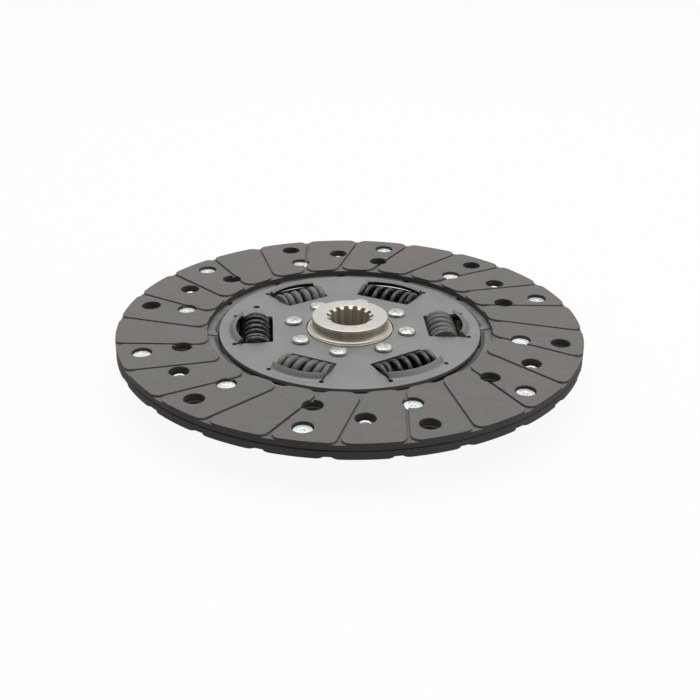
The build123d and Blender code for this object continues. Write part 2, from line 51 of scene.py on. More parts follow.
# Friction linings
LINING_OUTER_R = 100.0
LINING_INNER_R = 61.5
LINING_GAP = 0.8
LINING_THICKNESS = 3.1
LINING_FACE_Z = LINING_GAP / 2 + LINING_THICKNESS
GROOVE_COUNT = 24
GROOVE_WIDTH = 1.2
GROOVE_DEPTH = 1.0
GROOVE_OFFSET = 22.0  # every groove's centre line touches a circle of this radius
GROOVE_DIRECTION = 10.5
PAD_OUTER_FILLET = 3.5
PAD_INNER_FILLET = 5.0
PAD_EDGE = 0.22  # worn edge of a pad
HOLE_R = 4.2
HOLE_EDGE = 0.18

# Groups of five lining holes
GROUP_COUNT = 6
GROUP_PITCH = 360 / GROUP_COUNT
FIRST_GROUP = 30.0
GROUP_SPREAD = 15.0
OUTER_RING_R = 90.3
MIDDLE_RING_R = 82.0
INNER_RING_R = 73.6
UPPER_RIVETS = ((OUTER_RING_R, FIRST_GROUP - GROUP_SPREAD), (INNER_RING_R, FIRST_GROUP + GROUP_SPREAD))
LOWER_RIVETS = ((MIDDLE_RING_R, FIRST_GROUP),)
EMPTY_HOLES = ((INNER_RING_R, FIRST_GROUP - GROUP_SPREAD), (OUTER_RING_R, FIRST_GROUP + GROUP_SPREAD))
HOLES = UPPER_RIVETS[:1] + LOWER_RIVETS + EMPTY_HOLES[:1]  # the others mirror these

# Lining rivets
LINING_SHANK_R = 2.3
LINING_HEAD_R = 3.8
LINING_HEAD_TOP_Z = LINING_FACE_Z - 1.2
LINING_HEAD_THICKNESS = 0.7
LINING_TAIL_R = 2.9
LINING_TAIL_HEIGHT = 1.1
LINING_BORE_R = 1.35  # of the hollow tail
LINING_BORE_DEPTH = 1.6
LINING_ROLL_HEIGHT = 0.62

# Cushion segments
SHEET = 0.5
SEGMENT_RIM_R = 99.0
SEGMENT_PARTING = 1.0
SEGMENT_SLOT_WIDTH = 1.6
SEGMENT_SLOT_ANGLE = 10.0
SEGMENT_SLOT_R = 67.5
SEGMENT_WAVE_R = 65.5
SEGMENT_NECK_R = 59.0
SEGMENT_STEP_R = 57.0
SEGMENT_FOOT_R = 50.3
SEGMENT_FOOT_WIDTH = 23.0
SEGMENT_TROUGH = 6.0
SEGMENT_RAMP = 7.0
SEGMENT_CREST = 16.0
SEGMENT_LEAD_IN = 3.0  # over which the wave grows from its inner edge
SEGMENT_HOLE_R = HOLE_R - 0.3  # under the linings' empty holes
LOCATING_HOLE_R = 2.2
LOCATING_RING_R = 62.0
SEGMENT_RIVET_RING_R = 52.6
SEGMENT_RIVET_ANGLE = 7.5
SEGMENT_RIVET_R = 2.5
SEGMENT_RIVET_SHANK_R = 1.6
SEGMENT_RIVET_HEIGHT = 0.8

# Damper stack
DAMPER_Z = -2.6
DRIVE_TOP_Z = -1.6
DRIVE_BOTTOM_Z = -3.6
FLANGE_TOP_Z = 0.2
FLANGE_BOTTOM_Z = -5.4
DAMPER_INSIDE = FLANGE_TOP_Z - DAMPER_Z  # from the damper's middle out to the retainer plates
RETAINER_THICKNESS = 1.5
RETAINER_TOP_Z = FLANGE_TOP_Z + RETAINER_THICKNESS
RETAINER_R = 56.3
RETAINER_BORE_R = 19.0
DRIVE_R = 55.5
DRIVE_BORE_R = 29.98
INDEX_HOLE_R = 1.5
INDEX_HOLE_RING_R = 46.7
INDEX_HOLE_ANGLE = 150.0
PLATE_EDGE = 0.25
DRIVE_EDGE = PLATE_EDGE * 0.6

# Spring windows
WINDOW_INNER_R = 33.3
DRIVE_WINDOW_OUTER_R = 48.1
DRIVE_WINDOW_INNER_R = WINDOW_INNER_R - 0.4  # room for the long springs at the end of the twist
WINDOW_SLOPE = math.tan(math.radians(4.5))
RELIEF_RING_R = 51.5
RELIEF_R = 1.1
FOLD_CROWN_R = 53.0
LIP_END_GAP = 0.3  # between either end of a lip and the window's end edge
LIP_RELIEF_GAP = 0.04  # between a lip and its relief holes
LIP_COLUMNS = 28
WINDOW_CORNER_R = 0.9
DRIVE_WINDOW_CORNER_R = 0.8
SHORT_HALF_LENGTH = 10.5
LONG_HALF_LENGTH = 12.7
SHORT_ANGLES = (0, 120, 240)
LONG_ANGLES = (60, 180, 300)
WINDOWS = [(angle, SHORT_HALF_LENGTH) for angle in SHORT_ANGLES]
WINDOWS += [(angle, LONG_HALF_LENGTH) for angle in LONG_ANGLES]
LIP_BEND_R = 2.4  # of the sheet's middle, where the lip turns up
LIP_TURN = 58.0
LIP_CURL_R = 12.0  # of the sheet's middle, where the lip curls over the spring
LIP_CURL = 10.0

# Stops
STOP_COUNT = 4
STOP_PITCH = 360 / STOP_COUNT
STOP_FIRST_ANGLE = 52.5
LUG_WIDTH = 4.0
LUG_HEIGHT = 2.4
NOTCH_FLOOR_R = DRIVE_BORE_R - LUG_HEIGHT - 0.4
NOTCH_TURN = 5.3

# Hub
HUB_TOP_Z = 7.5
HUB_BOTTOM_Z = -17.5
HUB_COLLAR_R = 16.5
HUB_COLLAR_HEIGHT = 1.8
HUB_NECK_R = 16.1
HUB_BOSS_R = 18.5
HUB_BOSS_RISE = 0.3
HUB_BOSS_FILLET = 1.9
HUB_BOSS_EDGE = 0.25
HUB_CHAMFER = 0.8
HUB_FLANGE_R = 29.9
SPLINE_COUNT = 15
SPLINE_MINOR_R = 8.7
SPLINE_DEPTH = 1.5
SPLINE_HALF_WIDTH = 1.15
SPLINE_ROOT_R = 0.45
SPLINE_MOUTH_R = 10.5
SPLINE_MOUTH_DEPTH = 1.0

# Hub rivets
HUB_RIVET_COUNT = 8
HUB_RIVET_FIRST_ANGLE = 30.0
HUB_RIVET_RING_R = 25.0
HUB_RIVET_SHANK_R = 2.75
HUB_RIVET_HEAD_R = 3.85
HUB_RIVET_HEIGHT = 1.7
HUB_RIVET_SHOULDER_R = 0.95
HUB_RIVET_DOME = 0.28  # rise of the crown inside the shoulder

# Damper springs
SPRING_OUTER_R = 6.8
SPRING_RING_R = 40.4
SPRING_END_PLAY = 0.2
WIRE_GAP = 0.15
SHORT_WIRE = 3.4
SHORT_TURNS = 5.4
SHORT_CLOSED_TURNS = 1.65
SHORT_TOP = 0.5  # turns from the spring's middle to the nearest top of a coil
LONG_WIRE = 2.3
LONG_TURNS = 6.9
LONG_CLOSED_TURNS = 1.3
LONG_TOP = 0.0
SPRING_STROKE = 3.72  # taken off a spring's length at the end of the twist

# Floor and background
FLOOR_RINGS = (1, 300, 3000)
FLOOR_STEPS = 96
SHADE_BEHIND = 12.0  # from the axis back to the middle of the shaded patch
SHADE_R = 66.0  # from here out to WHITE_FLOOR_R the floor turns white
WHITE_FLOOR_R = 86.0
WHITE_FLOOR_SHARE = 0.85
WHITE_FLOOR_LEVEL = 1.09
SOFT_LIGHT = 0.3
FRONT_DIMMING = 0.75  # of what metal mirrors from the front

# Camera, around a point low on the near side of the hub
CAMERA_AIM = (0.1959, -25.6432, LINING_FACE_Z)
CAMERA_DISTANCE = 472.3197
CAMERA_ELEVATION = 26.52737
CAMERA_BEARING = -0.02613
CAMERA_ROLL = 0.7232
DISC_TURN = -4.36  # the camera's turn about the axis, since a short window lies on +X
IMAGE_WIDTH = 700
FOCAL_PIXELS = 1142.3325  # for an image of that width
SENSOR_WIDTH = 36

# --- Node trees ---


class Value:
    """A number in a node tree. Arithmetic on it adds the Math nodes that work it out."""

    def __init__(self, tree, socket):
        self.tree = tree
        self.socket = socket

    def math(self, operation, *others):
        inputs = dict(enumerate((self,) + others))
        return self.tree.node("ShaderNodeMath", {"operation": operation}, inputs)

    def __add__(self, other):
        return self.math("ADD", other)

    def __radd__(self, other):
        return self.math("ADD", other)

    def __sub__(self, other):
        return self.math("SUBTRACT", other)

    def __rsub__(self, other):
        return self.math("MULTIPLY_ADD", -1.0, other)

    def __mul__(self, other):
        return self.math("MULTIPLY", other)

    def __rmul__(self, other):
        return self.math("MULTIPLY", other)

    def __truediv__(self, other):
        return self.math("DIVIDE", other)

    def rising(self, start, end):
        """0 below start, 1 above end, smooth between."""
        inputs = {"Value": self, "From Min": start, "From Max": end}
        return self.tree.node("ShaderNodeMapRange", {"interpolation_type": "SMOOTHSTEP"}, inputs)


class Tree:
    """A node tree, with one method that makes its nodes."""

    def __init__(self, node_tree):
        self.node_tree = node_tree

    def node(self, kind, settings=None, inputs=None, output=0):
        made = self.node_tree.nodes.new(kind)
        for name, setting in (settings or {}).items():
            setattr(made, name, setting)
        for name, given in (inputs or {}).items():
            self.feed(made.inputs[name], given)
        if not made.outputs:
            return None
        return Value(self, made.outputs[output])

    def feed(self, socket, given):
        """Links a value to a socket, or puts a constant on it."""
        if isinstance(given, Value):
            self.node_tree.links.new(given.socket, socket)
        else:
            socket.default_value = given

    def part_of(self, vector, axis):
        return self.node("ShaderNodeSeparateXYZ", {}, {"Vector": vector}, axis)

    def vector(self, **parts):
        """A vector from its X, Y and Z, of which any may be left out."""
        return self.node("ShaderNodeCombineXYZ", {}, parts)


def length_of(x, y):
    """How long a line is that runs x across and y along."""
    return (x * x + y * y).math("SQRT")


# --- Materials ---


def grey(red, green=None, blue=None):
    """A colour from screen values of 0 to 255."""
    values = (red, red if green is None else green, red if blue is None else blue)
    linear = [((v / 255 + 0.055) / 1.055) ** 2.4 if v > 10 else v / 255 / 12.92 for v in values]
    return (*linear, 1.0)


class Finish:
    """A material under construction: its tree, the object's own coordinates and the surface shader."""

    def __init__(self, name):
        self.material = bpy.data.materials.new(name)
        self.material.use_nodes = True
        self.tree = Tree(self.material.node_tree)
        self.surface = self.material.node_tree.nodes["Principled BSDF"]
        self.place = self.tree.node("ShaderNodeTexCoord", output="Object")

    def noise(self, size, detail=3.0, roughness=0.5, stretch=(1, 1, 1)):
        """Noise from 0 to 1 whose patches measure about size millimetres."""
        place = self.place
        if stretch != (1, 1, 1):
            place = self.tree.node("ShaderNodeMapping", {}, {"Vector": place, "Scale": stretch})
        inputs = {"Vector": place, "Scale": 1 / (size * MM), "Detail": detail, "Roughness": roughness}
        return self.tree.node("ShaderNodeTexNoise", {}, inputs)

    def axes(self):
        """The object's own X, Y and Z in millimetres."""
        return [self.tree.part_of(self.place, axis) / MM for axis in "XYZ"]

    def radius(self):
        """Distance from the disc's axis in millimetres."""
        x, y, _ = self.axes()
        return length_of(x, y)

    def near_holes(self):
        """1 in the lining's holes and on their walls, 0 elsewhere. All groups fold onto the first."""
        x, y, _ = self.axes()
        pitch = math.tau / GROUP_COUNT
        turn = y.math("ARCTAN2", x) - math.radians(FIRST_GROUP)
        folded = (turn + math.pi + pitch / 2).math("MODULO", pitch) - pitch / 2
        along = self.radius() * folded.math("COSINE")
        aside = self.radius() * folded.math("SINE").math("ABSOLUTE")
        nearest = None
        for ring_r, angle in HOLES:
            hole_x, hole_y = polar(ring_r, abs(angle - FIRST_GROUP))
            distance = length_of(along - hole_x, aside - hole_y)
            nearest = distance if nearest is None else nearest.math("MINIMUM", distance)
        return 1.0 - nearest.rising(HOLE_R + 0.1, HOLE_R + 0.4)

    def facing_up(self):
        """1 on faces that look straight up, 0 on walls, -1 on faces that look straight down."""
        normal = self.tree.node("ShaderNodeNewGeometry", output="True Normal")
        return self.tree.part_of(normal, "Z")

    def mixed(self, share, first, second):
        inputs = {0: share, 6: first, 7: second}
        return self.tree.node("ShaderNodeMix", {"data_type": "RGBA"}, inputs, output=2)

    def bump(self, height, depth, strength=1.0, under=None):
        """Relief of depth millimetres, over another relief if one is given."""
        inputs = {"Height": height, "Distance": depth * MM, "Strength": strength}
        if under is not None:
            inputs["Normal"] = under
        return self.tree.node("ShaderNodeBump", {}, inputs)

    def set(self, **values):
        """Puts values on the surface shader, where Base_Color stands for Base Color."""
        for name, given in values.items():
            self.tree.feed(self.surface.inputs[name.replace("_", " ")], given)
        return self.material


def friction_compound():
    """Moulded fibre and resin: warm grey on the faces, with painted shade that darkens the walls, most of
    all on the rims and in the holes.
    """
    finish = Finish("friction_compound")
    patches = finish.noise(9.0, 4.0, 0.6).rising(0.35, 0.68)
    tint = finish.noise(26.0, 2.0, 0.5).rising(0.4, 0.62)
    grain = finish.noise(0.9, 5.0, 0.65).rising(0.3, 0.75)
    flecks = finish.noise(0.45, 2.0, 0.5).rising(0.64, 0.72)
    scuffs = finish.noise(2.2, 6.0, 0.75, (1, 0.35, 1)).rising(0.62, 0.78)
    body = finish.mixed(tint, grey(108, 108, 104), grey(114, 107, 106))
    body = finish.mixed(patches * 0.6, body, grey(106, 103, 100))
    body = finish.mixed(grain * 0.5, body, grey(92, 89, 87))
    body = finish.mixed(flecks * 0.45, body, grey(158, 153, 146))
    body = finish.mixed(scuffs * 0.3, body, grey(150, 147, 142))
    wall = 1.0 - finish.facing_up().math("ABSOLUTE").rising(0.3, 0.75)
    radius = finish.radius()
    rims = radius.rising(LINING_OUTER_R - 0.7, LINING_OUTER_R - 0.3)
    rims = rims + 1.0 - radius.rising(LINING_INNER_R + 0.2, LINING_INNER_R + 0.5)
    cut = rims.math("MAXIMUM", finish.near_holes()).math("MINIMUM", 1.0)
    # Painted shade: walls are mixed towards dark grey, a little everywhere and most on the rims and in the
    # holes.
    body = finish.mixed(wall * (0.25 + cut * 0.6), body, grey(60, 59, 56))
    relief = finish.bump(finish.noise(0.7, 5.0, 0.7), 0.06)
    relief = finish.bump(patches, 0.05, 0.5, relief)
    roughness = 0.72 + finish.noise(3.0, 3.0, 0.5) * 0.2
    return finish.set(Base_Color=body, Roughness=roughness, Normal=relief, Specular_IOR_Level=0.35)


def phosphated_steel():
    """A grey coat with soft clouds, and painted shade: dark grey on faces that look towards the damper's
    middle and on the drive plate between the retainer plates.
    """
    finish = Finish("phosphated_steel")
    _, _, height = finish.axes()
    cloud = finish.noise(16.0, 3.0, 0.5).rising(0.3, 0.7)
    grain = finish.noise(0.35, 3.0, 0.6)
    body = finish.mixed(cloud, grey(117, 117, 117), grey(127, 127, 126))
    body = finish.mixed(grain.rising(0.45, 0.8) * 0.35, body, grey(98, 98, 98))
    from_middle = height - DAMPER_Z
    looks_in = finish.facing_up() * from_middle.math("SIGN") * -1.0
    between = 1.0 - from_middle.math("ABSOLUTE").rising(DAMPER_INSIDE - 0.1, DAMPER_INSIDE - 0.02)
    # Painted shade: faces towards the damper's middle and the drive plate between the retainer plates turn
    # dark grey and less metallic.
    inner_shade = looks_in.rising(0.15, 0.35).math("MAXIMUM", between)
    body = finish.mixed(inner_shade, body, grey(48, 48, 47))
    relief = finish.bump(grain, 0.015)
    roughness = 0.54 + cloud * 0.08
    return finish.set(Base_Color=body, Metallic=0.6 - inner_shade * 0.5, Roughness=roughness, Normal=relief)


def turned_steel():
    """Bright where the cutter faced the end and the boss, brown-grey on the sides and in the bore, with a
    painted highlight round the boss's outer edge.
    """
    finish = Finish("turned_steel")
    _, _, height = finish.axes()
    radius = finish.radius()
    faced = height.rising(HUB_TOP_Z - 0.5, HUB_TOP_Z - 0.1)
    boss = 1.0 - height.rising(RETAINER_TOP_Z + 0.6, RETAINER_TOP_Z + 1.8)
    bore = 1.0 - radius.rising(SPLINE_MOUTH_R, SPLINE_MOUTH_R + 0.3)
    boss = boss - boss * bore
    cloud = finish.noise(4.0, 4.0, 0.6, (1, 1, 0.5)).rising(0.3, 0.75)
    side = finish.mixed(cloud, grey(158, 147, 131), grey(178, 168, 152))
    side = finish.mixed(boss, side, grey(172, 164, 150))
    # Painted highlight: a bright ring round the boss's outer edge.
    boss_edge_highlight = boss * radius.rising(HUB_BOSS_R - 0.8, HUB_BOSS_R - 0.2)
    side = finish.mixed(boss_edge_highlight, side, grey(196, 190, 180))
    side = finish.mixed(bore, side, grey(196, 187, 172))
    body = finish.mixed(faced, side, grey(181, 178, 172))
    rings = finish.noise(0.5, 2.0, 0.5)
    turning = (radius * 14.0 + rings * 2.0).math("SINE")
    relief = finish.bump(turning * faced, 0.012)
    relief = finish.bump(finish.noise(0.5, 3.0, 0.6), 0.015, 1.0, relief)
    metal = 0.5 + faced * 0.1 + boss * 0.35
    roughness = 0.42 - faced * 0.04 - boss * 0.14 + cloud * 0.08
    return finish.set(Base_Color=body, Metallic=metal, Roughness=roughness, Normal=relief)


def plated_steel(name, light, dark, roughness, patch, dent, depth):
    """Bright rivet steel with soft clouds, and dents left by the rivet set."""
    finish = Finish(name)
    cloud = finish.noise(patch, 3.0, 0.55).rising(0.35, 0.7)
    body = finish.mixed(cloud, dark, light)
    relief = finish.bump(finish.noise(dent, 2.0, 0.5), depth)
    return finish.set(Base_Color=body, Metallic=0.85, Roughness=roughness + cloud * 0.1, Normal=relief)


def spring_wire(name, light, dark, metal, roughness):
    """Spring wire under a thin dark coat, rubbed lighter along the turns."""
    finish = Finish(name)
    rubbed = finish.noise(2.5, 4.0, 0.6).rising(0.4, 0.75)
    body = finish.mixed(rubbed, dark, light)
    relief = finish.bump(finish.noise(0.4, 3.0, 0.6), 0.012)
    return finish.set(Base_Color=body, Metallic=metal, Roughness=roughness + rubbed * 0.12, Normal=relief)


def tempered_sheet():
    finish = Finish("tempered_sheet")
    cloud = finish.noise(6.0, 3.0, 0.5).rising(0.3, 0.7)
    body = finish.mixed(cloud, grey(92, 94, 92), grey(108, 110, 108))
    relief = finish.bump(finish.noise(0.6, 3.0, 0.6), 0.012)
    return finish.set(Base_Color=body, Metallic=0.25, Roughness=0.5 + cloud * 0.1, Normal=relief)


def moulded_ring():
    finish = Finish("moulded_ring")
    grain = finish.noise(0.8, 4.0, 0.6)
    body = finish.mixed(grain.rising(0.3, 0.7), grey(86, 83, 79), grey(104, 100, 95))
    relief = finish.bump(grain, 0.04)
    return finish.set(Base_Color=body, Roughness=0.8, Normal=relief)


# --- Meshes ---


def polar(radius, angle):
    return radius * math.cos(math.radians(angle)), radius * math.sin(math.radians(angle))


def arc(radius, start, end, steps, centre=(0.0, 0.0)):
    """Points along an arc, both ends included."""
    points = []
    for step in range(steps + 1):
        x, y = polar(radius, start + (end - start) * step / steps)
        points.append((centre[0] + x, centre[1] + y))
    return points


def circle(radius, steps, centre=(0.0, 0.0)):
    return arc(radius, 0, 360, steps, centre)[:-1]


def turned(points, angle):
    """Points of the XY plane, turned about the axis."""
    cosine, sine = polar(1, angle)
    return [(x * cosine - y * sine, x * sine + y * cosine) for x, y in points]


def round_holes(radius, steps, places):
    """The outlines of round holes, each place being a radius and an angle around the axis."""
    return [("hole", circle(radius, steps, polar(*place))) for place in places]


def at_height(outline, z):
    return [(x, y, z) for x, y in outline]


def loft(mesh, rings, capped=True):
    """A skin over rings of equally many points, which run anticlockwise seen from the last ring."""
    rows = [[mesh.verts.new(point) for point in ring] for ring in rings]
    count = len(rings[0])
    for low, high in zip(rows, rows[1:]):
        for place in range(count):
            after = (place + 1) % count
            mesh.faces.new((low[place], low[after], high[after], high[place]))
    if capped:
        mesh.faces.new(list(reversed(rows[0])))
        mesh.faces.new(rows[-1])


def turned_rings(profile, steps):
    return [at_height(circle(radius, steps), z) for radius, z in profile]


def lathe(profile, steps):
    """A closed body of revolution. Its profile runs up, from the axis at the bottom to the axis on top."""
    mesh = bmesh.new()
    loft(mesh, turned_rings(profile, steps))
    return mesh


def closed_loop(rings):
    """A skin that passes over the rings and back to the first one."""
    mesh = bmesh.new()
    loft(mesh, rings + rings[:1], capped=False)
    bmesh.ops.remove_doubles(mesh, verts=mesh.verts, dist=1e-4)
    return mesh


def stepped_solid(outlines, level_of, lines=(), is_open=None):
    """A solid with flat steps, over closed outlines that each have a label.

    level_of gives, for the labels around a place, the solid's bottom and top there, or None.
    lines are extra edges in its faces, and is_open names the edges that get no wall.
    """
    points, loops, labels, edges = [], [], [], []
    for label, outline in outlines:
        loops.append(list(range(len(points), len(points) + len(outline))))
        points += [Vector(point) for point in outline]
        labels.append(label)
    for line in lines:
        edges += [(place, place + 1) for place in range(len(points), len(points) + len(line) - 1)]
        points += [Vector(point) for point in line]
    flat, _, faces, _, _, origins = delaunay_2d_cdt(points, edges, loops, 1, 1e-4)

    mesh = bmesh.new()
    corners = {}
    heights = {}

    def corner(place, z):
        if (place, z) not in corners:
            corners[place, z] = mesh.verts.new((flat[place].x, flat[place].y, z))
        return corners[place, z]

    sides = {}
    for face, origin in zip(faces, origins):
        level = level_of({labels[loop] for loop in origin})
        if level is None:
            continue
        for place, after in zip(face, face[1:] + face[:1]):
            sides[place, after] = level
            heights.setdefault(place, set()).update(level)
        mesh.faces.new([corner(place, level[1]) for place in face])
        mesh.faces.new([corner(place, level[0]) for place in reversed(face)])
    for (place, after), (bottom, top) in sides.items():
        if is_open is not None and is_open(flat[place], flat[after]):
            continue
        beyond = sides.get((after, place))
        spans = [(bottom, top)] if beyond is None else [(beyond[1], top), (bottom, beyond[0])]
        for low, high in spans:
            if low >= high:
                continue
            rising = [z for z in sorted(heights[after]) if low <= z <= high]
            falling = [z for z in sorted(heights[place], reverse=True) if low <= z <= high]
            mesh.faces.new([corner(after, z) for z in rising] + [corner(place, z) for z in falling])
    return mesh


def placed(name, data):
    """A new object in the scene, which holds a mesh, a lamp or a camera."""
    made = bpy.data.objects.new(name, data)
    bpy.context.scene.collection.objects.link(made)
    return made


def slab(label, bottom, top):
    """The levels of a flat plate, which is solid only where its own outline lies alone."""
    return lambda labels: (bottom, top) if labels == {label} else None


def piece(name, mesh, material):
    """An object at the origin, made from a mesh in millimetres."""
    bmesh.ops.scale(mesh, vec=(MM, MM, MM), verts=mesh.verts)
    data = bpy.data.meshes.new(name)
    mesh.to_mesh(data)
    mesh.free()
    data.materials.append(material)
    return placed(name, data)


def settle(made):
    """Replaces an object's mesh by the one that its modifiers give, and removes them."""
    graph = bpy.context.evaluated_depsgraph_get()
    data = bpy.data.meshes.new_from_object(made.evaluated_get(graph))
    made.modifiers.clear()
    old = made.data
    made.data = data
    data.name = made.name
    bpy.data.meshes.remove(old)
    return made


def remove(made):
    bpy.data.objects.remove(made)


def combine(made, other, operation):
    """Adds or cuts away another object, which is removed."""
    modifier = made.modifiers.new(operation, "BOOLEAN")
    modifier.operation = operation
    modifier.solver = "MANIFOLD"
    modifier.object = other
    settle(made)
    remove(other)
    return made


def soften(made, width, segments=2):
    """Rounds the sharp edges by width millimetres."""
    modifier = made.modifiers.new("edges", "BEVEL")
    modifier.width = width * MM
    modifier.segments = segments
    modifier.limit_method = "ANGLE"
    modifier.angle_limit = math.radians(38)
    modifier.use_clamp_overlap = True
    return settle(made)


def smooth(made, angle=32):
    """Smooth shading, but for edges sharper than angle, with flat faces kept flat."""
    data = made.data
    for polygon in data.polygons:
        polygon.use_smooth = True
    data.set_sharp_from_angle(angle=math.radians(angle))
    modifier = made.modifiers.new("normals", "WEIGHTED_NORMAL")
    modifier.keep_sharp = True
    return settle(made)


def finished(made, body, slot, *nodes):
    """The last step of each piece: shading, the body it rides on and the nodes it stands for, which are
    hidden; slot is not used.
    """
    smooth(made)
    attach(made, body)
    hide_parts(*nodes)
    return made


# --- Geometry Nodes ---


def open_group(name, sockets):
    """Starts a node group with named inputs, and gives its tree and those inputs as values."""
    group = bpy.data.node_groups.new(name, "GeometryNodeTree")
    group.interface.new_socket("Geometry", in_out="OUTPUT", socket_type="NodeSocketGeometry")
    for socket, kind in sockets.items():
        group.interface.new_socket(socket, in_out="INPUT", socket_type=f"NodeSocket{kind}")
    tree = Tree(group)
    given = group.nodes.new("NodeGroupInput")
    return tree, {socket: Value(tree, given.outputs[socket]) for socket in sockets}


def close_group(tree, geometry, material):
    """Ends a node group with real geometry in its material."""
    solid = tree.node("GeometryNodeRealizeInstances", {}, {"Geometry": geometry})
    coated = tree.node("GeometryNodeSetMaterial", {}, {"Geometry": solid, "Material": material})
    tree.node("NodeGroupOutput", {}, {"Geometry": coated})
    return tree.node_tree


def grown(name, group, values):
    """An object whose mesh a node group makes from the values of its inputs."""
    made = placed(name, bpy.data.meshes.new(name))
    modifier = made.modifiers.new("shape", "NODES")
    modifier.node_group = group
    for item in group.interface.items_tree:
        if item.in_out == "INPUT" and item.name in values:
            modifier[item.identifier] = values[item.name]
    return settle(made)


def ring_group():
    """Copies of a part around the axis, each turned to face outward."""
    sockets = {"Part": "Object", "Copies": "Int", "Radius": "Float"}
    sockets |= {"First angle": "Float", "Material": "Material"}
    tree, asked = open_group("copies_in_a_ring", sockets)
    angle = asked["First angle"] + tree.node("GeometryNodeInputIndex") * math.tau / asked["Copies"]
    place = tree.vector(X=asked["Radius"] * angle.math("COSINE"), Y=asked["Radius"] * angle.math("SINE"))
    points = tree.node("GeometryNodePoints", {}, {"Count": asked["Copies"], "Position": place})
    part = tree.node("GeometryNodeObjectInfo", {}, {"Object": asked["Part"]}, output="Geometry")
    inputs = {"Points": points, "Instance": part, "Rotation": tree.vector(Z=angle)}
    copies = tree.node("GeometryNodeInstanceOnPoints", {}, inputs)
    return close_group(tree, copies, asked["Material"])


RING_GROUP = ring_group()


def ring_of(name, part_mesh, places, copies, material):
    """Copies of a part as one object. Each place is the radius and first angle of a ring of them."""
    part = piece(f"{name}_part", part_mesh, material)
    mesh = bmesh.new()
    for radius, first_angle in places:
        values = {
            "Part": part,
            "Copies": copies,
            "Radius": radius * MM,
            "First angle": math.radians(first_angle),
            "Material": material,
        }
        made = grown(name, RING_GROUP, values)
        mesh.from_mesh(made.data)
        remove(made)
    remove(part)
    bmesh.ops.scale(mesh, vec=(1 / MM, 1 / MM, 1 / MM), verts=mesh.verts)
    return piece(name, mesh, material)


# --- Friction linings ---


def pad_outline(inset):
    """The outline of the first pad, drawn in by inset."""
    near = GROOVE_OFFSET + GROOVE_WIDTH / 2 + inset
    far = GROOVE_OFFSET - GROOVE_WIDTH / 2 - inset
    near_direction = GROOVE_DIRECTION
    far_direction = GROOVE_DIRECTION + 360 / GROOVE_COUNT
    outer_fillet = PAD_OUTER_FILLET - inset
    inner_fillet = PAD_INNER_FILLET - inset
    outer_r = LINING_OUTER_R - inset
    inner_r = LINING_INNER_R + inset

    def corner(direction, offset, centre_r):
        along = math.sqrt(centre_r**2 - offset**2)
        return turned([(along, offset)], direction)[0]

    def bearing(point):
        return math.degrees(math.atan2(point[1], point[0]))

    outer_near = corner(near_direction, near + outer_fillet, outer_r - outer_fillet)
    outer_far = corner(far_direction, far - outer_fillet, outer_r - outer_fillet)
    inner_near = corner(near_direction, near + inner_fillet, inner_r + inner_fillet)
    inner_far = corner(far_direction, far - inner_fillet, inner_r + inner_fillet)
    outline = arc(outer_fillet, near_direction - 90, bearing(outer_near), 8, outer_near)
    outline += arc(outer_r, bearing(outer_near), bearing(outer_far), 12)[1:-1]
    outline += arc(outer_fillet, bearing(outer_far), far_direction + 90, 8, outer_far)
    outline += arc(inner_fillet, far_direction + 90, bearing(inner_far) + 180, 8, inner_far)
    outline += arc(inner_r, bearing(inner_far), bearing(inner_near), 8)[1:-1]
    outline += arc(inner_fillet, bearing(inner_near) + 180, near_direction + 270, 8, inner_near)
    return outline


def friction_lining(name, seats, plain_holes, material, turned_over):
    """A moulded ring with raised pads, which faces up until it is turned over."""
    bottom, base_top = LINING_GAP / 2, LINING_FACE_Z - GROOVE_DEPTH
    hidden_step = 0.04  # of the base behind the pads' outer and inner walls
    shoulder = PAD_EDGE * 0.3
    pad = bmesh.new()
    rings = [
        at_height(pad_outline(0), bottom + hidden_step),
        at_height(pad_outline(0), LINING_FACE_Z - PAD_EDGE),
        at_height(pad_outline(shoulder), LINING_FACE_Z - shoulder),
        at_height(pad_outline(PAD_EDGE), LINING_FACE_Z),
    ]
    loft(pad, rings)
    pads = ring_of(f"{name}_pads", pad, [(0, 0)], GROOVE_COUNT, material)
    inner, outer = LINING_INNER_R + hidden_step, LINING_OUTER_R - hidden_step
    section = [(inner, bottom), (outer, bottom), (outer, base_top), (inner, base_top)]
    lining = piece(name, closed_loop(turned_rings(section, 360)), material)
    combine(lining, pads, "UNION")

    clear = 1  # how far the cutters reach past the lining

    def cutter(radius, floor):
        """A tool that cuts a hole down to its floor and breaks its edge."""
        top = (radius + HOLE_EDGE + clear, LINING_FACE_Z + clear)
        return lathe([(radius, floor), (radius, LINING_FACE_Z - HOLE_EDGE), top], 48)

    shank = [(LINING_SHANK_R, bottom - clear), (LINING_SHANK_R, LINING_FACE_Z)]
    cuts = (
        ("holes", cutter(HOLE_R, bottom - clear), plain_holes),
        ("seats", cutter(HOLE_R, LINING_HEAD_TOP_Z - LINING_HEAD_THICKNESS), seats),
        ("shanks", lathe(shank, 32), seats),
    )
    for kind, tool, places in cuts:
        combine(lining, ring_of(kind, tool, places, GROUP_COUNT, material), "DIFFERENCE")
    if turned_over:
        lining.data.transform(Matrix.Rotation(math.pi, 4, "X"))
    return lining


def make_linings(material):
    sides = (("upper", UPPER_RIVETS, LOWER_RIVETS, False), ("lower", LOWER_RIVETS, UPPER_RIVETS, True))
    for side, seats, others, turned_over in sides:
        made = friction_lining(f"{side}_lining", seats, others + EMPTY_HOLES, material, turned_over)
        finished(made, "lining_carrier", "lining", f"friction_lining_{side}")


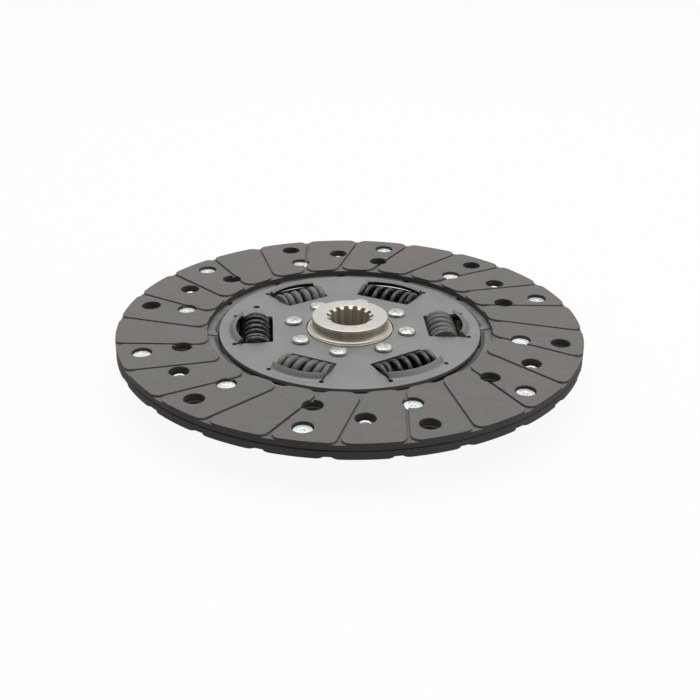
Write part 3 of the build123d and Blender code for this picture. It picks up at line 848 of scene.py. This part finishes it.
def lining_rivet():
    """A tubular rivet with its head up: a small dimple in the head, and a tail rolled out at the bottom."""
    seat = LINING_HEAD_TOP_Z - LINING_HEAD_THICKNESS
    tail_seat = LINING_GAP / 2 - SHEET
    tail_end = tail_seat - LINING_TAIL_HEIGHT
    bore_end = tail_end + LINING_BORE_DEPTH
    bore = LINING_BORE_R
    roll = (LINING_TAIL_R - bore) / 2
    profile = [(bore * 0.15, bore_end), (bore * 0.8, bore_end - 0.1), (bore, bore_end - 0.7)]
    for x, z in arc(roll, 180, 360, 12):
        profile.append((bore + roll + x, tail_end + LINING_ROLL_HEIGHT * (1 + z / roll)))
    profile += [(LINING_TAIL_R * 0.96, tail_seat - 0.1), (LINING_SHANK_R, tail_seat)]
    profile += [(LINING_SHANK_R, seat), (LINING_HEAD_R - 0.1, seat), (LINING_HEAD_R, seat + 0.12)]
    # The rim's distance in from the head's edge, and down from its top
    rim = ((0, 0.2), (0.06, 0.08), (0.25, 0.01))
    profile += [(LINING_HEAD_R - inward, LINING_HEAD_TOP_Z - down) for inward, down in rim]
    # The dimple's radius, and how far down from the head's top
    dimple = ((1.6, 0), (1.1, 0.03), (0.85, 0.12), (0.62, 0.42), (0.4, 0.55), (0.08, 0.58))
    profile += [(radius, LINING_HEAD_TOP_Z - down) for radius, down in dimple]
    return lathe(profile, 40)


def make_lining_rivets(material):
    for side, places, turn in (("upper", UPPER_RIVETS, 0), ("lower", LOWER_RIVETS, math.pi)):
        rivet = lining_rivet()
        bmesh.ops.rotate(rivet, matrix=Matrix.Rotation(turn, 3, "X"), verts=rivet.verts)
        made = ring_of(f"{side}_lining_rivets", rivet, places, GROUP_COUNT, material)
        finished(made, "lining_carrier", "rivet_steel", f"lining_rivets_{side}")


# --- Cushion segments ---


def eased(value, start, length):
    """0 up to start and 1 from a length beyond it, smooth between."""
    share = min(max((value - start) / length, 0), 1)
    return share * share * (3 - 2 * share)


def sheet_height(x, y):
    """The middle of the sheet above the linings' mid-plane, for a segment on +X."""
    radius = math.hypot(x, y)
    foot = DRIVE_TOP_Z + SHEET / 2
    if radius < SEGMENT_WAVE_R:
        return foot * (1 - eased(radius, SEGMENT_STEP_R, SEGMENT_NECK_R - SEGMENT_STEP_R))
    swing = (LINING_GAP - SHEET) / 2
    rise = eased(abs(y), SEGMENT_TROUGH, SEGMENT_RAMP)
    fall = eased(abs(y), SEGMENT_TROUGH + SEGMENT_RAMP + SEGMENT_CREST, SEGMENT_RAMP)
    lead_in = min((radius - SEGMENT_WAVE_R) / SEGMENT_LEAD_IN, 1)
    return swing * (2 * (rise - fall) - 1) * lead_in


def cushion_segment():
    """A waved segment on +X, of spring sheet."""
    half_angle = 180 / GROUP_COUNT
    setback = SEGMENT_PARTING / 2

    def side_angle(radius):
        return half_angle - math.degrees(math.asin(setback / radius))

    rim = side_angle(SEGMENT_RIM_R)
    step = side_angle(SEGMENT_STEP_R)
    foot_angle = math.degrees(math.asin(SEGMENT_FOOT_WIDTH / 2 / SEGMENT_STEP_R))
    outline = [(SEGMENT_FOOT_R, -SEGMENT_FOOT_WIDTH / 2)]
    outline += arc(SEGMENT_STEP_R, -foot_angle, -step, 8)
    outline += arc(SEGMENT_RIM_R, -rim, rim, 60)
    outline += arc(SEGMENT_STEP_R, step, foot_angle, 8)
    outline += [(SEGMENT_FOOT_R, SEGMENT_FOOT_WIDTH / 2)]
    outlines = [("sheet", outline)]
    half_width = SEGMENT_SLOT_WIDTH / 2
    open_end = SEGMENT_RIM_R + 3
    for angle in (-SEGMENT_SLOT_ANGLE, SEGMENT_SLOT_ANGLE):
        slot = [(open_end, half_width)]
        slot += arc(half_width, 90, 270, 8, (SEGMENT_SLOT_R + half_width, 0))
        slot += [(open_end, -half_width)]
        outlines.append(("hole", turned(slot, angle)))
    feet = [(SEGMENT_RIVET_RING_R, side * SEGMENT_RIVET_ANGLE) for side in (-1, 1)]
    shanks = [(ring_r, angle - FIRST_GROUP) for ring_r, angle in UPPER_RIVETS + LOWER_RIVETS]
    empty = [(ring_r, angle - FIRST_GROUP) for ring_r, angle in EMPTY_HOLES]
    outlines += round_holes(LOCATING_HOLE_R, 24, [(LOCATING_RING_R, 0)])
    outlines += round_holes(SEGMENT_RIVET_SHANK_R, 24, feet)
    outlines += round_holes(LINING_SHANK_R, 24, shanks)
    outlines += round_holes(SEGMENT_HOLE_R, 24, empty)
    # Edges across the step, the lead-in and the ramps, where the sheet bends
    lines = [arc(SEGMENT_STEP_R + 0.25 * row, -27, 27, 48) for row in range(9)]
    lines += [arc(SEGMENT_WAVE_R + row, -28, 28, 56) for row in range(4)]
    starts = (SEGMENT_TROUGH, SEGMENT_TROUGH + SEGMENT_RAMP + SEGMENT_CREST)
    ramps = [start + SEGMENT_RAMP * row / 6 for start in starts for row in range(7)]
    for across in ramps + [-place for place in ramps]:
        lines.append([(SEGMENT_WAVE_R - 8 + 4 * row, across) for row in range(11)])
    mesh = stepped_solid(outlines, slab("sheet", -SHEET / 2, SHEET / 2), lines)
    for vertex in mesh.verts:
        vertex.co.z += sheet_height(vertex.co.x, vertex.co.y)
    return mesh


def make_segments(material):
    for number in range(GROUP_COUNT):
        mesh = cushion_segment()
        turn = Matrix.Rotation(math.radians(FIRST_GROUP + GROUP_PITCH * number), 3, "Z")
        bmesh.ops.rotate(mesh, matrix=turn, verts=mesh.verts)
        made = piece(f"cushion_sheet_{number + 1}", mesh, material)
        finished(made, "lining_carrier", "spring_sheet", f"cushion_segment_{number + 1}")


def make_segment_rivets(material):
    """Low rivets that hold the segments' feet to the drive plate."""
    # Shares of the head's radius, and how far from its top
    crown = ((1, 0.45), (0.85, 0.15), (0.55, 0.02))

    def head(seat, side):
        top = seat + side * SEGMENT_RIVET_HEIGHT
        rows = [(SEGMENT_RIVET_SHANK_R, seat), (SEGMENT_RIVET_R, seat)]
        rows += [(SEGMENT_RIVET_R * share, top - side * down) for share, down in crown]
        return rows + [(0.1, top)]

    profile = head(DRIVE_BOTTOM_Z, -1)[::-1] + head(DRIVE_TOP_Z + SHEET, 1)
    places = [(SEGMENT_RIVET_RING_R, FIRST_GROUP + side * SEGMENT_RIVET_ANGLE) for side in (-1, 1)]
    made = ring_of("foot_rivets", lathe(profile, 28), places, GROUP_COUNT, material)
    finished(made, "lining_carrier", "rivet_steel", "segment_rivets")


# --- Plates ---


def window_end(half_length, x):
    """Half of a window's length at the distance x from the disc's axis."""
    return half_length + (x - WINDOW_INNER_R) * WINDOW_SLOPE


def relief_point(half_length):
    """Where a window's end edge meets the ring of relief holes."""
    start = half_length - WINDOW_INNER_R * WINDOW_SLOPE
    square, cross, rest = 1 + WINDOW_SLOPE**2, WINDOW_SLOPE * start, start**2 - RELIEF_RING_R**2
    x = (math.sqrt(cross**2 - square * rest) - cross) / square
    return x, window_end(half_length, x)


def rounded_corner(corner, before, after, radius, steps=5):
    """Points of a small arc that rounds the corner between two neighbours."""
    place, start, end = Vector(corner), Vector(before), Vector(after)
    into = (start - place).normalized()
    out = (end - place).normalized()
    half = into.angle(out) / 2
    reach = radius / math.tan(half)
    first, last = place + into * reach, place + out * reach
    centre = place + (into + out).normalized() * (radius / math.sin(half))
    points = []
    for step in range(steps + 1):
        blend = first.lerp(last, step / steps) - centre
        points.append(tuple(centre + blend.normalized() * radius))
    return points


def drive_window(half_length):
    outer_y = window_end(half_length, DRIVE_WINDOW_OUTER_R)
    inner_y = window_end(half_length, DRIVE_WINDOW_INNER_R)
    corners = [
        (DRIVE_WINDOW_OUTER_R, outer_y),
        (DRIVE_WINDOW_INNER_R, inner_y),
        (DRIVE_WINDOW_INNER_R, -inner_y),
        (DRIVE_WINDOW_OUTER_R, -outer_y),
    ]
    outline = []
    for number, corner in enumerate(corners):
        after = corners[(number + 1) % len(corners)]
        outline += rounded_corner(corner, corners[number - 1], after, DRIVE_WINDOW_CORNER_R)
    return outline


def make_drive_plate(material):
    outlines = [("plate", circle(DRIVE_R, 240)), ("hole", circle(DRIVE_BORE_R, 180))]
    inner, outer, side = DRIVE_BORE_R - LUG_HEIGHT, DRIVE_BORE_R + 1, LUG_WIDTH / 2
    lug = [(inner, -side), (outer, -side), (outer, side), (inner, side)]
    for number in range(STOP_COUNT):
        outlines.append(("lug", turned(lug, STOP_FIRST_ANGLE + STOP_PITCH * number)))
    for angle, half_length in WINDOWS:
        outlines.append(("hole", turned(drive_window(half_length), angle)))
    for group in range(GROUP_COUNT):
        middle = FIRST_GROUP + GROUP_PITCH * group
        feet = [(SEGMENT_RIVET_RING_R, middle + side * SEGMENT_RIVET_ANGLE) for side in (-1, 1)]
        outlines += round_holes(SEGMENT_RIVET_SHANK_R, 24, feet)

    def level_of(labels):
        solid = "lug" in labels or labels == {"plate"}
        return (DRIVE_BOTTOM_Z, DRIVE_TOP_Z) if solid else None

    made = piece("damper_drive_plate", stepped_solid(outlines, level_of), material)
    soften(made, DRIVE_EDGE)
    finished(made, "lining_carrier", "plate_steel", "drive_plate")


def lip_rows():
    """The lip's section, as rows: inward from the fold, height, slope and distance along the sheet."""
    rows = []
    steps = 6  # in the bend, and as many in the curl
    for step in range(steps + 1):
        turn = LIP_TURN * step / steps
        inward = LIP_BEND_R * math.sin(math.radians(turn))
        height = LIP_BEND_R * (1 - math.cos(math.radians(turn)))
        along = LIP_BEND_R * math.radians(turn)
        rows.append((inward, height, turn, along))
    for step in range(1, steps + 1):
        slope = LIP_TURN - LIP_CURL * step / steps
        chord = LIP_CURL_R * math.radians(LIP_CURL) / steps
        middle = math.radians(slope + LIP_CURL / steps / 2)
        inward += chord * math.cos(middle)
        height += chord * math.sin(middle)
        along += chord
        rows.append((inward, height, slope, along))
    return rows


def fold_shape(half_length):
    """The arc that a window's lip is folded along: its centre and radius."""
    relief_x, relief_y = relief_point(half_length)
    rise = FOLD_CROWN_R - relief_x
    radius = (relief_y**2 + rise**2) / (2 * rise)
    return FOLD_CROWN_R - radius, radius


def lip_row(half_length, inward, along, offset=0.0):
    """A row of the lip, from one end edge of its window to the other, clear of the relief holes."""
    centre_x, fold_r = fold_shape(half_length)
    notch = math.sqrt(max(0.0, RELIEF_R**2 - along**2)) + LIP_RELIEF_GAP
    gap = max(LIP_END_GAP, notch)
    slant = math.atan(WINDOW_SLOPE)
    start = half_length - gap + (centre_x - WINDOW_INNER_R) * WINDOW_SLOPE
    half_angle = math.degrees(slant + math.asin(start * math.cos(slant) / (fold_r - inward)))
    return arc(fold_r - inward + offset, -half_angle, half_angle, LIP_COLUMNS, (centre_x, 0))


def window_outline(half_length):
    """A retainer window with its relief holes. Its outer edge holds the fold's own points."""
    relief_x, relief_y = relief_point(half_length)
    fold = lip_row(half_length, 0.0, 0.0)
    corner, opposite = (WINDOW_INNER_R, half_length), (WINDOW_INNER_R, -half_length)
    inner = rounded_corner(corner, (relief_x, relief_y), opposite, WINDOW_CORNER_R)
    other = [(x, -y) for x, y in reversed(inner)]
    return fold + [(relief_x, relief_y)] + inner + other + [(relief_x, -relief_y)]


def add_lip(mesh, half_length, angle):
    """The guide lip, folded up from the sheet along its window's outer edge and curled over the spring."""
    middle_z = (FLANGE_TOP_Z + RETAINER_TOP_Z) / 2
    half = RETAINER_THICKNESS / 2
    top, bottom = [], []
    for inward, height, slope, along in lip_rows():
        lean = (math.sin(math.radians(slope)), math.cos(math.radians(slope)))
        for rows, side in ((top, half), (bottom, -half)):
            z = middle_z + height + side * lean[1]
            line = turned(lip_row(half_length, inward, along, side * lean[0]), angle)
            rows.append([mesh.verts.new((x, y, z)) for x, y in line])
    for rows, flip in ((top, True), (bottom, False)):
        for outer, inner in zip(rows, rows[1:]):
            for place in range(LIP_COLUMNS):
                quad = [outer[place], outer[place + 1], inner[place + 1], inner[place]]
                mesh.faces.new(quad if flip else list(reversed(quad)))
    for place in range(LIP_COLUMNS):
        quad = [top[-1][place], top[-1][place + 1], bottom[-1][place + 1], bottom[-1][place]]
        mesh.faces.new(quad)
    for row in range(len(top) - 1):
        mesh.faces.new([top[row][0], top[row + 1][0], bottom[row + 1][0], bottom[row][0]])
        far = [top[row][-1], bottom[row][-1], bottom[row + 1][-1], top[row + 1][-1]]
        mesh.faces.new(far)


def hub_rivet_holes():
    """The outlines of the hub rivets' holes, alike in the flange and both retainer plates."""
    angles = [HUB_RIVET_FIRST_ANGLE + number * 360 / HUB_RIVET_COUNT for number in range(HUB_RIVET_COUNT)]
    return round_holes(HUB_RIVET_SHANK_R, 32, [(HUB_RIVET_RING_R, angle) for angle in angles])


def retainer_plate(name, material, mirrored):
    """A pressed plate with six windows. Each window's cover is folded up as a lip."""
    outlines = [("plate", circle(RETAINER_R, 240)), ("hole", circle(RETAINER_BORE_R, 144))]
    fold_points = set()
    for angle, half_length in WINDOWS:
        outlines.append(("hole", turned(window_outline(half_length), angle)))
        for x, y in turned(lip_row(half_length, 0.0, 0.0), angle):
            fold_points.add((round(x, 2), round(y, 2)))
        relief_x, relief_y = relief_point(half_length)
        for side in (-1, 1):
            centre = turned([(relief_x, side * relief_y)], angle)[0]
            outlines.append(("hole", circle(RELIEF_R, 20, centre)))
    outlines += hub_rivet_holes()
    outlines += round_holes(INDEX_HOLE_R, 28, [(INDEX_HOLE_RING_R, INDEX_HOLE_ANGLE)])

    def on_fold(start, end):
        ends = [(round(point.x, 2), round(point.y, 2)) for point in (start, end)]
        return all(point in fold_points for point in ends)

    mesh = stepped_solid(outlines, slab("plate", FLANGE_TOP_Z, RETAINER_TOP_Z), (), on_fold)
    for angle, half_length in WINDOWS:
        add_lip(mesh, half_length, angle)
    bmesh.ops.remove_doubles(mesh, verts=mesh.verts, dist=0.01)
    bmesh.ops.recalc_face_normals(mesh, faces=mesh.faces)
    made = piece(name, mesh, material)
    soften(made, PLATE_EDGE)
    if mirrored:
        data = made.data
        data.transform(Matrix.Translation((0, 0, 2 * DAMPER_Z * MM)) @ Matrix.Scale(-1, 4, (0, 0, 1)))
        data.flip_normals()
    return made


def make_retainer_plates(material):
    for side, mirrored in (("upper", False), ("lower", True)):
        made = retainer_plate(f"{side}_retainer", material, mirrored)
        finished(made, "hub_unit", "plate_steel", f"retainer_plate_{side}")


# --- Hub ---


def spline_outline():
    """The bore's outline: fifteen slots with rounded roots, and the lands between them."""
    major_r = SPLINE_MINOR_R + SPLINE_DEPTH
    root = SPLINE_ROOT_R
    land_angle = math.degrees(math.asin(SPLINE_HALF_WIDTH / SPLINE_MINOR_R))
    pitch = 360 / SPLINE_COUNT
    points = []
    for number in range(SPLINE_COUNT):
        centre = number * pitch
        reach = major_r - root
        x = math.sqrt(reach**2 - (SPLINE_HALF_WIDTH - root) ** 2)
        low = arc(root, -90, 0, 4, (x, root - SPLINE_HALF_WIDTH))
        high = arc(root, 0, 90, 4, (x, SPLINE_HALF_WIDTH - root))
        slot = [(math.hypot(px, py), math.atan2(py, px)) for px, py in low + high]
        slot = [(min(r, major_r), a) for r, a in slot]
        points += turned([(r * math.cos(a), r * math.sin(a)) for r, a in slot], centre)
        points += arc(SPLINE_MINOR_R, centre + land_angle, centre + pitch - land_angle, 6)
    return points


def hub_core():
    """The hub's body around the axis, from the splined bore out to the boss."""
    bore = spline_outline()
    bearings = [math.atan2(y, x) for x, y in bore]
    reaches = [math.hypot(x, y) for x, y in bore]
    slope = SPLINE_MOUTH_DEPTH / (SPLINE_MOUTH_R - SPLINE_MINOR_R)

    def round_ring(radius, z):
        return [(radius * math.cos(a), radius * math.sin(a), z) for a in bearings]

    def mouth(end_z, inward):
        return [
            (x, y, end_z + inward * (SPLINE_MOUTH_R - reach) * slope)
            for (x, y), reach in zip(bore, reaches)
        ]

    boss_top = RETAINER_TOP_Z + HUB_BOSS_RISE
    boss_bottom = 2 * DAMPER_Z - boss_top
    step = HUB_COLLAR_R - HUB_NECK_R
    collar_z = HUB_TOP_Z - HUB_COLLAR_HEIGHT
    profile = [(HUB_COLLAR_R - HUB_CHAMFER, HUB_BOTTOM_Z), (HUB_COLLAR_R, HUB_BOTTOM_Z + HUB_CHAMFER)]
    for x, z in arc(HUB_BOSS_FILLET, 180, 90, 8, (HUB_COLLAR_R + HUB_BOSS_FILLET, 0)):
        profile.append((x, boss_bottom - HUB_BOSS_FILLET + z))
    profile += [(HUB_BOSS_R - 0.02, boss_bottom), (HUB_BOSS_R, boss_bottom + HUB_BOSS_EDGE)]
    profile += [(HUB_BOSS_R, boss_top - HUB_BOSS_EDGE), (HUB_BOSS_R - HUB_BOSS_EDGE, boss_top)]
    for x, z in arc(HUB_BOSS_FILLET, 90, 180, 8, (HUB_NECK_R + HUB_BOSS_FILLET, 0)):
        profile.append((x, boss_top + HUB_BOSS_FILLET - z))
    profile += [(HUB_NECK_R, collar_z - step), (HUB_COLLAR_R, collar_z)]
    shoulder = HUB_CHAMFER * 0.3
    profile += [(HUB_COLLAR_R, HUB_TOP_Z - HUB_CHAMFER), (HUB_COLLAR_R - shoulder, HUB_TOP_Z - shoulder)]
    profile += [(HUB_COLLAR_R - HUB_CHAMFER, HUB_TOP_Z)]
    rings = [mouth(HUB_BOTTOM_Z, 1), round_ring(SPLINE_MOUTH_R, HUB_BOTTOM_Z)]
    rings += [round_ring(radius, z) for radius, z in profile]
    rings += [round_ring(SPLINE_MOUTH_R, HUB_TOP_Z), mouth(HUB_TOP_Z, -1)]
    return closed_loop(rings)


def hub_flange():
    """The flange between the retainer plates, with its rivet holes and stop notches."""
    outlines = [("flange", circle(HUB_FLANGE_R, 180)), ("hole", circle(HUB_BOSS_R - 1, 90))]
    outlines += hub_rivet_holes()
    open_end = HUB_FLANGE_R + 2
    notch = []
    for radius, side in ((NOTCH_FLOOR_R, -1), (open_end, -1), (open_end, 1), (NOTCH_FLOOR_R, 1)):
        flank = math.degrees(math.asin(LUG_WIDTH / 2 / radius))
        notch.append(polar(radius, side * (flank + NOTCH_TURN)))
    for number in range(STOP_COUNT):
        outlines.append(("hole", turned(notch, STOP_FIRST_ANGLE + STOP_PITCH * number)))
    return stepped_solid(outlines, slab("flange", FLANGE_BOTTOM_Z, FLANGE_TOP_Z))


def make_hub(material):
    hub = piece("splined_hub", hub_core(), material)
    combine(hub, piece("flange", hub_flange(), material), "UNION")
    finished(hub, "hub_unit", "hub_steel", "hub")


def make_hub_rivets(material):
    """Eight rivets with low domed heads on both plates."""
    top = RETAINER_TOP_Z + HUB_RIVET_HEIGHT
    crown_r = HUB_RIVET_HEAD_R - HUB_RIVET_SHOULDER_R
    rows = [(HUB_RIVET_SHANK_R, RETAINER_TOP_Z), (HUB_RIVET_HEAD_R - 0.2, RETAINER_TOP_Z)]
    rows += [(HUB_RIVET_HEAD_R - 0.03, RETAINER_TOP_Z + 0.22)]
    for x, z in arc(HUB_RIVET_SHOULDER_R, 0, 75, 7):
        rows.append((crown_r + x, top - HUB_RIVET_DOME - HUB_RIVET_SHOULDER_R + z))
    base_r, base_z = rows[-1]
    for share in (0.85, 0.65, 0.4, 0.03):
        rows.append((base_r * share, top - (top - base_z) * share**2))
    lower = [(radius, 2 * DAMPER_Z - z) for radius, z in reversed(rows)]
    places = [(HUB_RIVET_RING_R, HUB_RIVET_FIRST_ANGLE)]
    made = ring_of("plate_rivets", lathe(lower + rows, 40), places, HUB_RIVET_COUNT, material)
    finished(made, "hub_unit", "rivet_steel", "hub_rivets")


# --- Damper springs ---


def spring_group():
    """A coil spring along Y. Its end turns lie close together, ground flat in line with the window."""
    names = ("Wire", "Coil radius", "Turns", "Closed turns", "Closed pitch")
    names += ("Length", "Splay", "Ring", "Level", "Top")
    sockets = dict.fromkeys(names, "Float") | {"Points": "Int", "Material": "Material"}
    tree, asked = open_group("damper_spring", sockets)
    wound = asked["Turns"] * (tree.node("GeometryNodeInputIndex") / (asked["Points"] - 1.0) - 0.5)
    angle = (asked["Top"] - wound) * math.tau
    outward = asked["Coil radius"] * angle.math("SINE")
    upward = asked["Coil radius"] * angle.math("COSINE")
    open_turns = asked["Turns"] - asked["Closed turns"] * 2.0
    closed_length = asked["Closed turns"] * asked["Closed pitch"] * 2.0
    pitch = (asked["Length"] - closed_length) / open_turns
    in_open = wound.math("MAXIMUM", open_turns * -0.5).math("MINIMUM", open_turns * 0.5)
    along = in_open * pitch + (wound - in_open) * asked["Closed pitch"]
    splay = outward * asked["Splay"] * 2.0 / asked["Length"] + 1.0
    place = tree.vector(X=asked["Ring"] + outward, Y=along * splay, Z=upward + asked["Level"])
    line = tree.node("GeometryNodeCurvePrimitiveLine")
    path = tree.node("GeometryNodeResampleCurve", {}, {"Curve": line, "Count": asked["Points"]})
    coil = tree.node("GeometryNodeSetPosition", {}, {"Geometry": path, "Position": place})
    round_wire = {"Resolution": 18, "Radius": asked["Wire"] * 0.5}
    section = tree.node("GeometryNodeCurvePrimitiveCircle", {}, round_wire)
    inputs = {"Curve": coil, "Profile Curve": section, "Fill Caps": True}
    wire = tree.node("GeometryNodeCurveToMesh", {}, inputs)
    spot = tree.node("GeometryNodeInputPosition")
    x, y, z = (tree.part_of(spot, axis) for axis in "XYZ")
    end = asked["Length"] * 0.5 + (x - asked["Ring"]) * asked["Splay"]
    flat = tree.vector(X=x, Y=y.math("MINIMUM", end).math("MAXIMUM", end * -1.0), Z=z)
    ground = tree.node("GeometryNodeSetPosition", {}, {"Geometry": wire, "Position": flat})
    return close_group(tree, ground, asked["Material"])


def damper_spring(name, group, length, shape, angle, material):
    wire, turns, closed_turns, top = shape
    values = {
        "Wire": wire * MM,
        "Coil radius": (SPRING_OUTER_R - wire / 2) * MM,
        "Turns": turns,
        "Closed turns": closed_turns,
        "Closed pitch": (wire + WIRE_GAP) * MM,
        "Length": length * MM,
        "Splay": WINDOW_SLOPE,
        "Ring": SPRING_RING_R * MM,
        "Level": DAMPER_Z * MM,
        "Top": top,
        "Points": round(turns * 40) + 1,
        "Material": material,
    }
    made = grown(name, group, values)
    made.data.transform(Matrix.Rotation(math.radians(angle), 4, "Z"))
    return made


def make_springs(short_material, long_material):
    group = spring_group()
    short = (SHORT_WIRE, SHORT_TURNS, SHORT_CLOSED_TURNS, SHORT_TOP)
    long = (LONG_WIRE, LONG_TURNS, LONG_CLOSED_TURNS, LONG_TOP)
    kinds = (
        ("short", SHORT_ANGLES, SHORT_HALF_LENGTH, short, short_material),
        ("long", LONG_ANGLES, LONG_HALF_LENGTH, long, long_material),
    )
    for kind, angles, half_length, shape, material in kinds:
        length = 2 * (window_end(half_length, SPRING_RING_R) - SPRING_END_PLAY)
        keep = (length - SPRING_STROKE) / length
        for number, angle in enumerate(angles, 1):
            made = damper_spring(f"{kind}_spring_{number}", group, length, shape, angle, material)
            finished(made, "damper_springs", "coil_spring", f"damper_spring_{kind}_{number}")
            middle = [value * MM for value in (*polar(SPRING_RING_R, angle), DAMPER_Z)]
            along = (*polar(1, angle + 90), 0)
            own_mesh(made)


# --- Inner rings, which keep their CAD meshes ---


def dress_inner_rings(ring_material, sheet_material):
    dressed = {
        "friction_ring_upper": ring_material,
        "friction_ring_lower": ring_material,
        "disc_spring": sheet_material,
    }
    for node, material in dressed.items():
        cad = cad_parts[node]
        cad.data.materials.clear()
        cad.data.materials.append(material)


# --- Stage, light and camera ---


def seen_directly(tree):
    """1 for what the camera sees straight, in a reflection or through glass, and 0 for scattered light."""
    kinds = ("Camera", "Glossy", "Transmission")
    rays = [tree.node("ShaderNodeLightPath", output=f"Is {kind} Ray") for kind in kinds]
    return rays[0].math("MAXIMUM", rays[1]).math("MAXIMUM", rays[2])


def pale_floor():
    """A pale floor that glows white around the disc. In a patch under the disc, set back behind the axis,
    the glow is left off as a painted shadow, and the disc's own soft shadow shows on the grey there.
    """
    finish = Finish("pale_floor")
    tree = finish.tree
    x, y, _ = finish.axes()
    # Painted shadow: inside a circle set back behind the axis the white glow is left off.
    glow_beyond_painted_shadow = length_of(x, y - SHADE_BEHIND).rising(SHADE_R, WHITE_FLOOR_R) * seen_directly(tree)
    tree.node_tree.nodes.remove(finish.surface)
    matt = tree.node("ShaderNodeBsdfDiffuse", {}, {"Color": (0.4, 0.4, 0.4, 1)})
    white = tree.node("ShaderNodeEmission", {}, {"Color": (1, 1, 1, 1), "Strength": WHITE_FLOOR_LEVEL})
    mixed = tree.node("ShaderNodeMixShader", {}, {0: glow_beyond_painted_shadow * WHITE_FLOOR_SHARE, 1: matt, 2: white})
    tree.feed(tree.node_tree.nodes["Material Output"].inputs["Surface"], mixed)
    return finish.material


def make_stage():
    mesh = bmesh.new()
    rings = [at_height(circle(radius, FLOOR_STEPS), HUB_BOTTOM_Z) for radius in FLOOR_RINGS]
    rows = [[mesh.verts.new(point) for point in ring] for ring in rings]
    mesh.faces.new(rows[0])
    for inner, outer in zip(rows, rows[1:]):
        for place in range(FLOOR_STEPS):
            after = (place + 1) % FLOOR_STEPS
            mesh.faces.new((inner[place], outer[place], outer[after], inner[after]))
    piece("floor", mesh, pale_floor())


def make_world():
    """Soft light all round, with a darker side towards the front, and a white background."""
    world = bpy.data.worlds.new("studio")
    world.use_nodes = True
    bpy.context.scene.world = world
    tree = Tree(world.node_tree)
    world.node_tree.nodes.clear()
    front = tree.part_of(tree.node("ShaderNodeTexCoord", output="Generated"), "Y")
    lit = front.rising(-0.75, 0.35)
    glossy = tree.node("ShaderNodeLightPath", output="Is Glossy Ray")
    level = 1.0 - glossy * (1.0 - lit) * FRONT_DIMMING
    soft = tree.node("ShaderNodeBackground", {}, {"Color": (1, 1, 1, 1), "Strength": SOFT_LIGHT})
    white = tree.node("ShaderNodeBackground", {}, {"Color": (1, 1, 1, 1), "Strength": level})
    mixed = tree.node("ShaderNodeMixShader", {}, {0: seen_directly(tree), 1: soft, 2: white})
    tree.node("ShaderNodeOutputWorld", {}, {"Surface": mixed})


def add_lamp(name, place, size, power):
    """A square soft lamp that points at the disc."""
    lamp = bpy.data.lights.new(name, "AREA")
    lamp.size = size
    lamp.energy = power
    holder = placed(name, lamp)
    holder.location = place
    holder.rotation_euler = (-Vector(place)).to_track_quat("-Z", "Y").to_euler()


def make_camera():
    elevation, roll = math.radians(CAMERA_ELEVATION), math.radians(CAMERA_ROLL)
    bearing = Matrix.Rotation(math.radians(CAMERA_BEARING), 3, "Z")
    disc_turn = Matrix.Rotation(math.radians(DISC_TURN), 3, "Z")
    side = bearing @ Vector((1, 0, 0))
    back = bearing @ Vector((0, -math.cos(elevation), math.sin(elevation)))
    up = back.cross(side)
    right = side * math.cos(roll) + up * math.sin(roll)
    top = up * math.cos(roll) - side * math.sin(roll)
    place = disc_turn @ (Vector(CAMERA_AIM) + back * CAMERA_DISTANCE)
    axes = Matrix((disc_turn @ right, disc_turn @ top, disc_turn @ back)).transposed()
    camera = bpy.data.cameras.new("camera")
    camera.lens = FOCAL_PIXELS / IMAGE_WIDTH * SENSOR_WIDTH
    camera.sensor_width = SENSOR_WIDTH
    camera.clip_start = 0.01
    holder = placed("camera", camera)
    holder.matrix_world = Matrix.Translation(place * MM) @ axes.to_4x4()
    bpy.context.scene.camera = holder


# --- The disc ---

plated = plated_steel(
    "plated_rivet", grey(206, 210, 210), grey(190, 194, 194),
    roughness=0.42, patch=5.0, dent=0.4, depth=0.015,
)
rivet_steel = plated_steel(
    "bright_rivet", grey(200, 199, 195), grey(150, 148, 143),
    roughness=0.34, patch=1.6, dent=1.5, depth=0.16,
)
sheet_steel = tempered_sheet()
plate_steel = phosphated_steel()
make_linings(friction_compound())
make_lining_rivets(plated)
make_segments(sheet_steel)
make_segment_rivets(rivet_steel)
make_drive_plate(plate_steel)
make_retainer_plates(plate_steel)
make_hub(turned_steel())
make_hub_rivets(rivet_steel)
make_springs(
    spring_wire("satin_wire", grey(110, 107, 103), grey(82, 80, 77), metal=0.2, roughness=0.5),
    spring_wire("black_wire", grey(84, 84, 83), grey(36, 36, 36), metal=0.6, roughness=0.24),
)
dress_inner_rings(moulded_ring(), sheet_steel)

make_stage()
make_world()
add_lamp("overhead", (0.0, 0.25, 1.1), size=1.3, power=14)
add_lamp("side", (1.1, -0.35, 0.45), size=0.7, power=3)
make_camera()
bpy.context.scene.view_settings.view_transform = "Standard"
